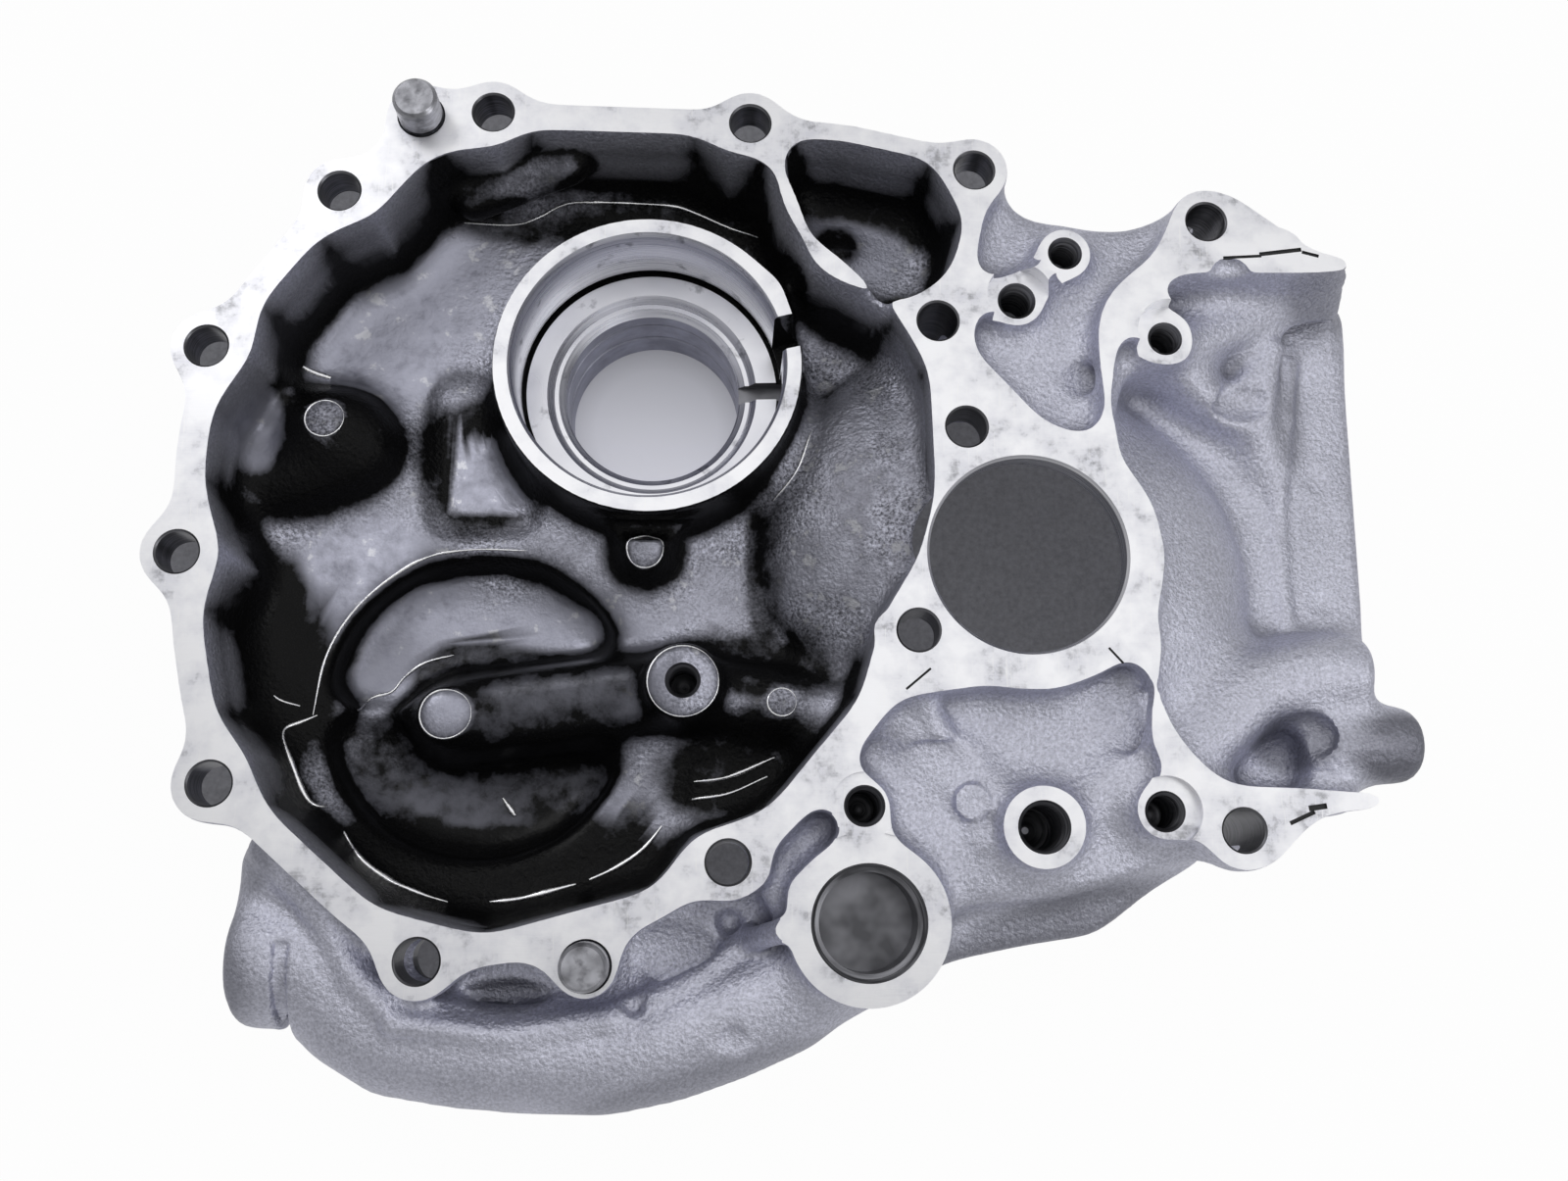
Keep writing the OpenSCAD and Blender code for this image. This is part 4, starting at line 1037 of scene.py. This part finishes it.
def steel_material():
    """Ground dowel steel with a turned end."""
    n = Nodes("dowel_steel")
    turns = n.noise(0.35, 2.0, 0.5, (0.1, 0.1, 1.0))
    stain = n.noise(3, 4.0)
    base = n.mix(n.span(turns, 0.35, 0.65), grey(0.30), grey(0.52))
    colour = n.mix(n.span(stain, 0.5, 0.7), base, grey(0.18))
    return n.principled(Base_Color=colour, Metallic=1.0, Roughness=n.span(stain, 0.3, 0.7, 0.25, 0.42),
                        Normal=n.bump(turns, 0.02))


def camera_white(n, shader, share):
    """Brightens a stage shader towards white for what the camera, gloss and glass see."""
    path = n.node("ShaderNodeLightPath")
    gloss = n.math("MULTIPLY", path.outputs["Is Glossy Ray"], GLOSS_SHARE)
    seen = n.math("MAXIMUM", path.outputs["Is Camera Ray"], gloss)
    seen = n.math("MAXIMUM", seen, path.outputs["Is Transmission Ray"])
    glow = n.node("ShaderNodeEmission", {"Color": (1, 1, 1, 1), "Strength": 1.0})
    mixed = n.node("ShaderNodeMixShader", {0: n.math("MULTIPLY", seen, share)})
    n.tree.links.new(shader, mixed.inputs[1])
    n.tree.links.new(glow.outputs[0], mixed.inputs[2])
    n.tree.links.new(mixed.outputs[0], n.out.inputs["Surface"])
    return n.material


def floor_material():
    """A pale floor that keeps the shadow faint."""
    n = Nodes("floor_white")
    diffuse = n.node("ShaderNodeBsdfDiffuse", {"Color": (0.8, 0.8, 0.8, 1)})
    return camera_white(n, diffuse.outputs[0], 0.97)


def shadow_mat_material():
    """Painted shade under the part: dark, with a painted pool of light where light falls through the pinion
    bore, and a glow of its own.
    """
    n = Nodes("painted_shadow_mat")
    fibre = n.noise(1.2, 4.0, 0.6)
    to_pinion = (-PINION[0] * MM, -PINION[1] * MM, 0)
    offset = n.node("ShaderNodeVectorMath", {0: n.place, 1: to_pinion}, operation="ADD")
    away = n.node("ShaderNodeVectorMath", {0: offset.outputs[0]}, operation="LENGTH").outputs["Value"]
    level = n.node("ShaderNodeSeparateXYZ", {0: offset.outputs[0]}).outputs["Y"]
    # pale is a painted pool of light below the pinion bore, dark is the painted shade under the part
    pale = n.mix(n.span(level, -0.02, 0.02), grey(0.72), grey(0.42))
    dark = n.mix(n.span(fibre, 0.3, 0.7), grey(0.10), grey(0.14))
    share = n.span(away, 0.058, 0.066, 1.0, 0.0)
    colour = n.mix(share, dark, pale)
    diffuse = n.node("ShaderNodeBsdfDiffuse", {"Color": colour})
    # The mat glows by itself: painted light
    glow = n.node("ShaderNodeEmission", {"Color": colour, "Strength": 0.55})
    both = n.node("ShaderNodeAddShader")
    n.tree.links.new(diffuse.outputs[0], both.inputs[0])
    n.tree.links.new(glow.outputs[0], both.inputs[1])
    n.tree.links.new(both.outputs[0], n.out.inputs["Surface"])
    return n.material


def make_shadow_mat(volume):
    """A dark mat on the floor that paints the shade under the part: the part hides it from the camera and
    its holes show it.
    """
    floor_z = cad_box[0].z / MM
    stretch = (EYE[2] - floor_z) / EYE[2]
    k = int(round(MAT_SECTION / STEP)) - volume.low[2]
    covered = ~open_air(volume.field[:, :, k] < 0)
    points, faces = [], []
    for j in range(covered.shape[1]):
        row = np.concatenate(([0], covered[:, j].astype(int), [0]))
        changes = np.flatnonzero(np.diff(row))
        y0, y1 = ((j + volume.low[1] + side) * STEP for side in (-0.5, 0.5))
        for start, end in zip(changes[::2], changes[1::2]):
            x0, x1 = ((i + volume.low[0] - 0.5) * STEP for i in (start, end))
            first = len(points)
            for x, y in ((x0, y0), (x1, y0), (x1, y1), (x0, y1)):
                on_floor = (EYE[0] + (x - EYE[0]) * stretch, EYE[1] + (y - EYE[1]) * stretch)
                points.append((*on_floor, floor_z + 0.2))
            faces.append((first, first + 1, first + 2, first + 3))
    mesh_object("mat", points, faces, shadow_mat_material())


def open_air(metal):
    """The cells of a section outside the part, and a margin inside its edge."""
    air = np.zeros(metal.shape, bool)
    air[0, :] = air[-1, :] = air[:, 0] = air[:, -1] = True
    count = 0
    while count != air.sum():
        count = air.sum()
        for _ in range(8):
            air = grown(air) & ~metal
    for _ in range(int(MAT_INSET / STEP)):
        air = grown(air)
    return air


def grown(mask):
    """A mask grown by one cell to each side."""
    out = mask.copy()
    out[1:, :] |= mask[:-1, :]
    out[:-1, :] |= mask[1:, :]
    out[:, 1:] |= mask[:, :-1]
    out[:, :-1] |= mask[:, 1:]
    return out


def make_stage():
    """A white floor under the part and a lit white world."""
    low = cad_box[0].z / MM
    corners = [(x * FLOOR_HALF, y * FLOOR_HALF, low) for x, y in ((-1, -1), (1, -1), (1, 1), (-1, 1))]
    mesh_object("floor", corners, [(0, 1, 2, 3)], floor_material())
    world = bpy.data.worlds.new("world")
    bpy.context.scene.world = world
    world.use_nodes = True
    tree = world.node_tree
    background = tree.nodes["Background"]
    path = tree.nodes.new("ShaderNodeLightPath")
    gloss = tree.nodes.new("ShaderNodeMapRange")
    gloss.inputs["To Min"].default_value = DIFFUSE_SHARE
    gloss.inputs["To Max"].default_value = GLOSS_SHARE
    seen = tree.nodes.new("ShaderNodeMath")
    seen.operation = "MAXIMUM"
    tree.links.new(path.outputs["Is Glossy Ray"], gloss.inputs["Value"])
    tree.links.new(gloss.outputs["Result"], seen.inputs[0])
    tree.links.new(path.outputs["Is Camera Ray"], seen.inputs[1])
    tree.links.new(seen.outputs[0], background.inputs["Strength"])
    background.inputs["Color"].default_value = (1, 1, 1, 1)


def softbox(name, place, target, width, height, power):
    """A rectangular lamp turned towards a target."""
    data = bpy.data.lights.new(name, "AREA")
    data.shape = "RECTANGLE"
    data.size, data.size_y = width * MM, height * MM
    data.energy = power
    lamp = bpy.data.objects.new(name, data)
    bpy.context.scene.collection.objects.link(lamp)
    look_at(lamp, place, target)


bpy.context.scene.view_settings.view_transform = "Standard"
make_camera()
materials = {
    "cast": cast_material(), "face": face_material(), "bore": bore_material(), "hole": hole_material(),
    "bore_shade": bore_shade_material(), "black": black_material(),
}
casting = make_housing(materials)
make_gleams(casting, gleam_material())
steel = steel_material()
for name in ("upper_dowel_pin", "lower_dowel_pin"):
    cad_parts[name].data.materials.clear()
    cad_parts[name].data.materials.append(steel)
make_stage()
make_shadow_mat(casting)
for lamp in LAMPS:
    softbox(*lamp)
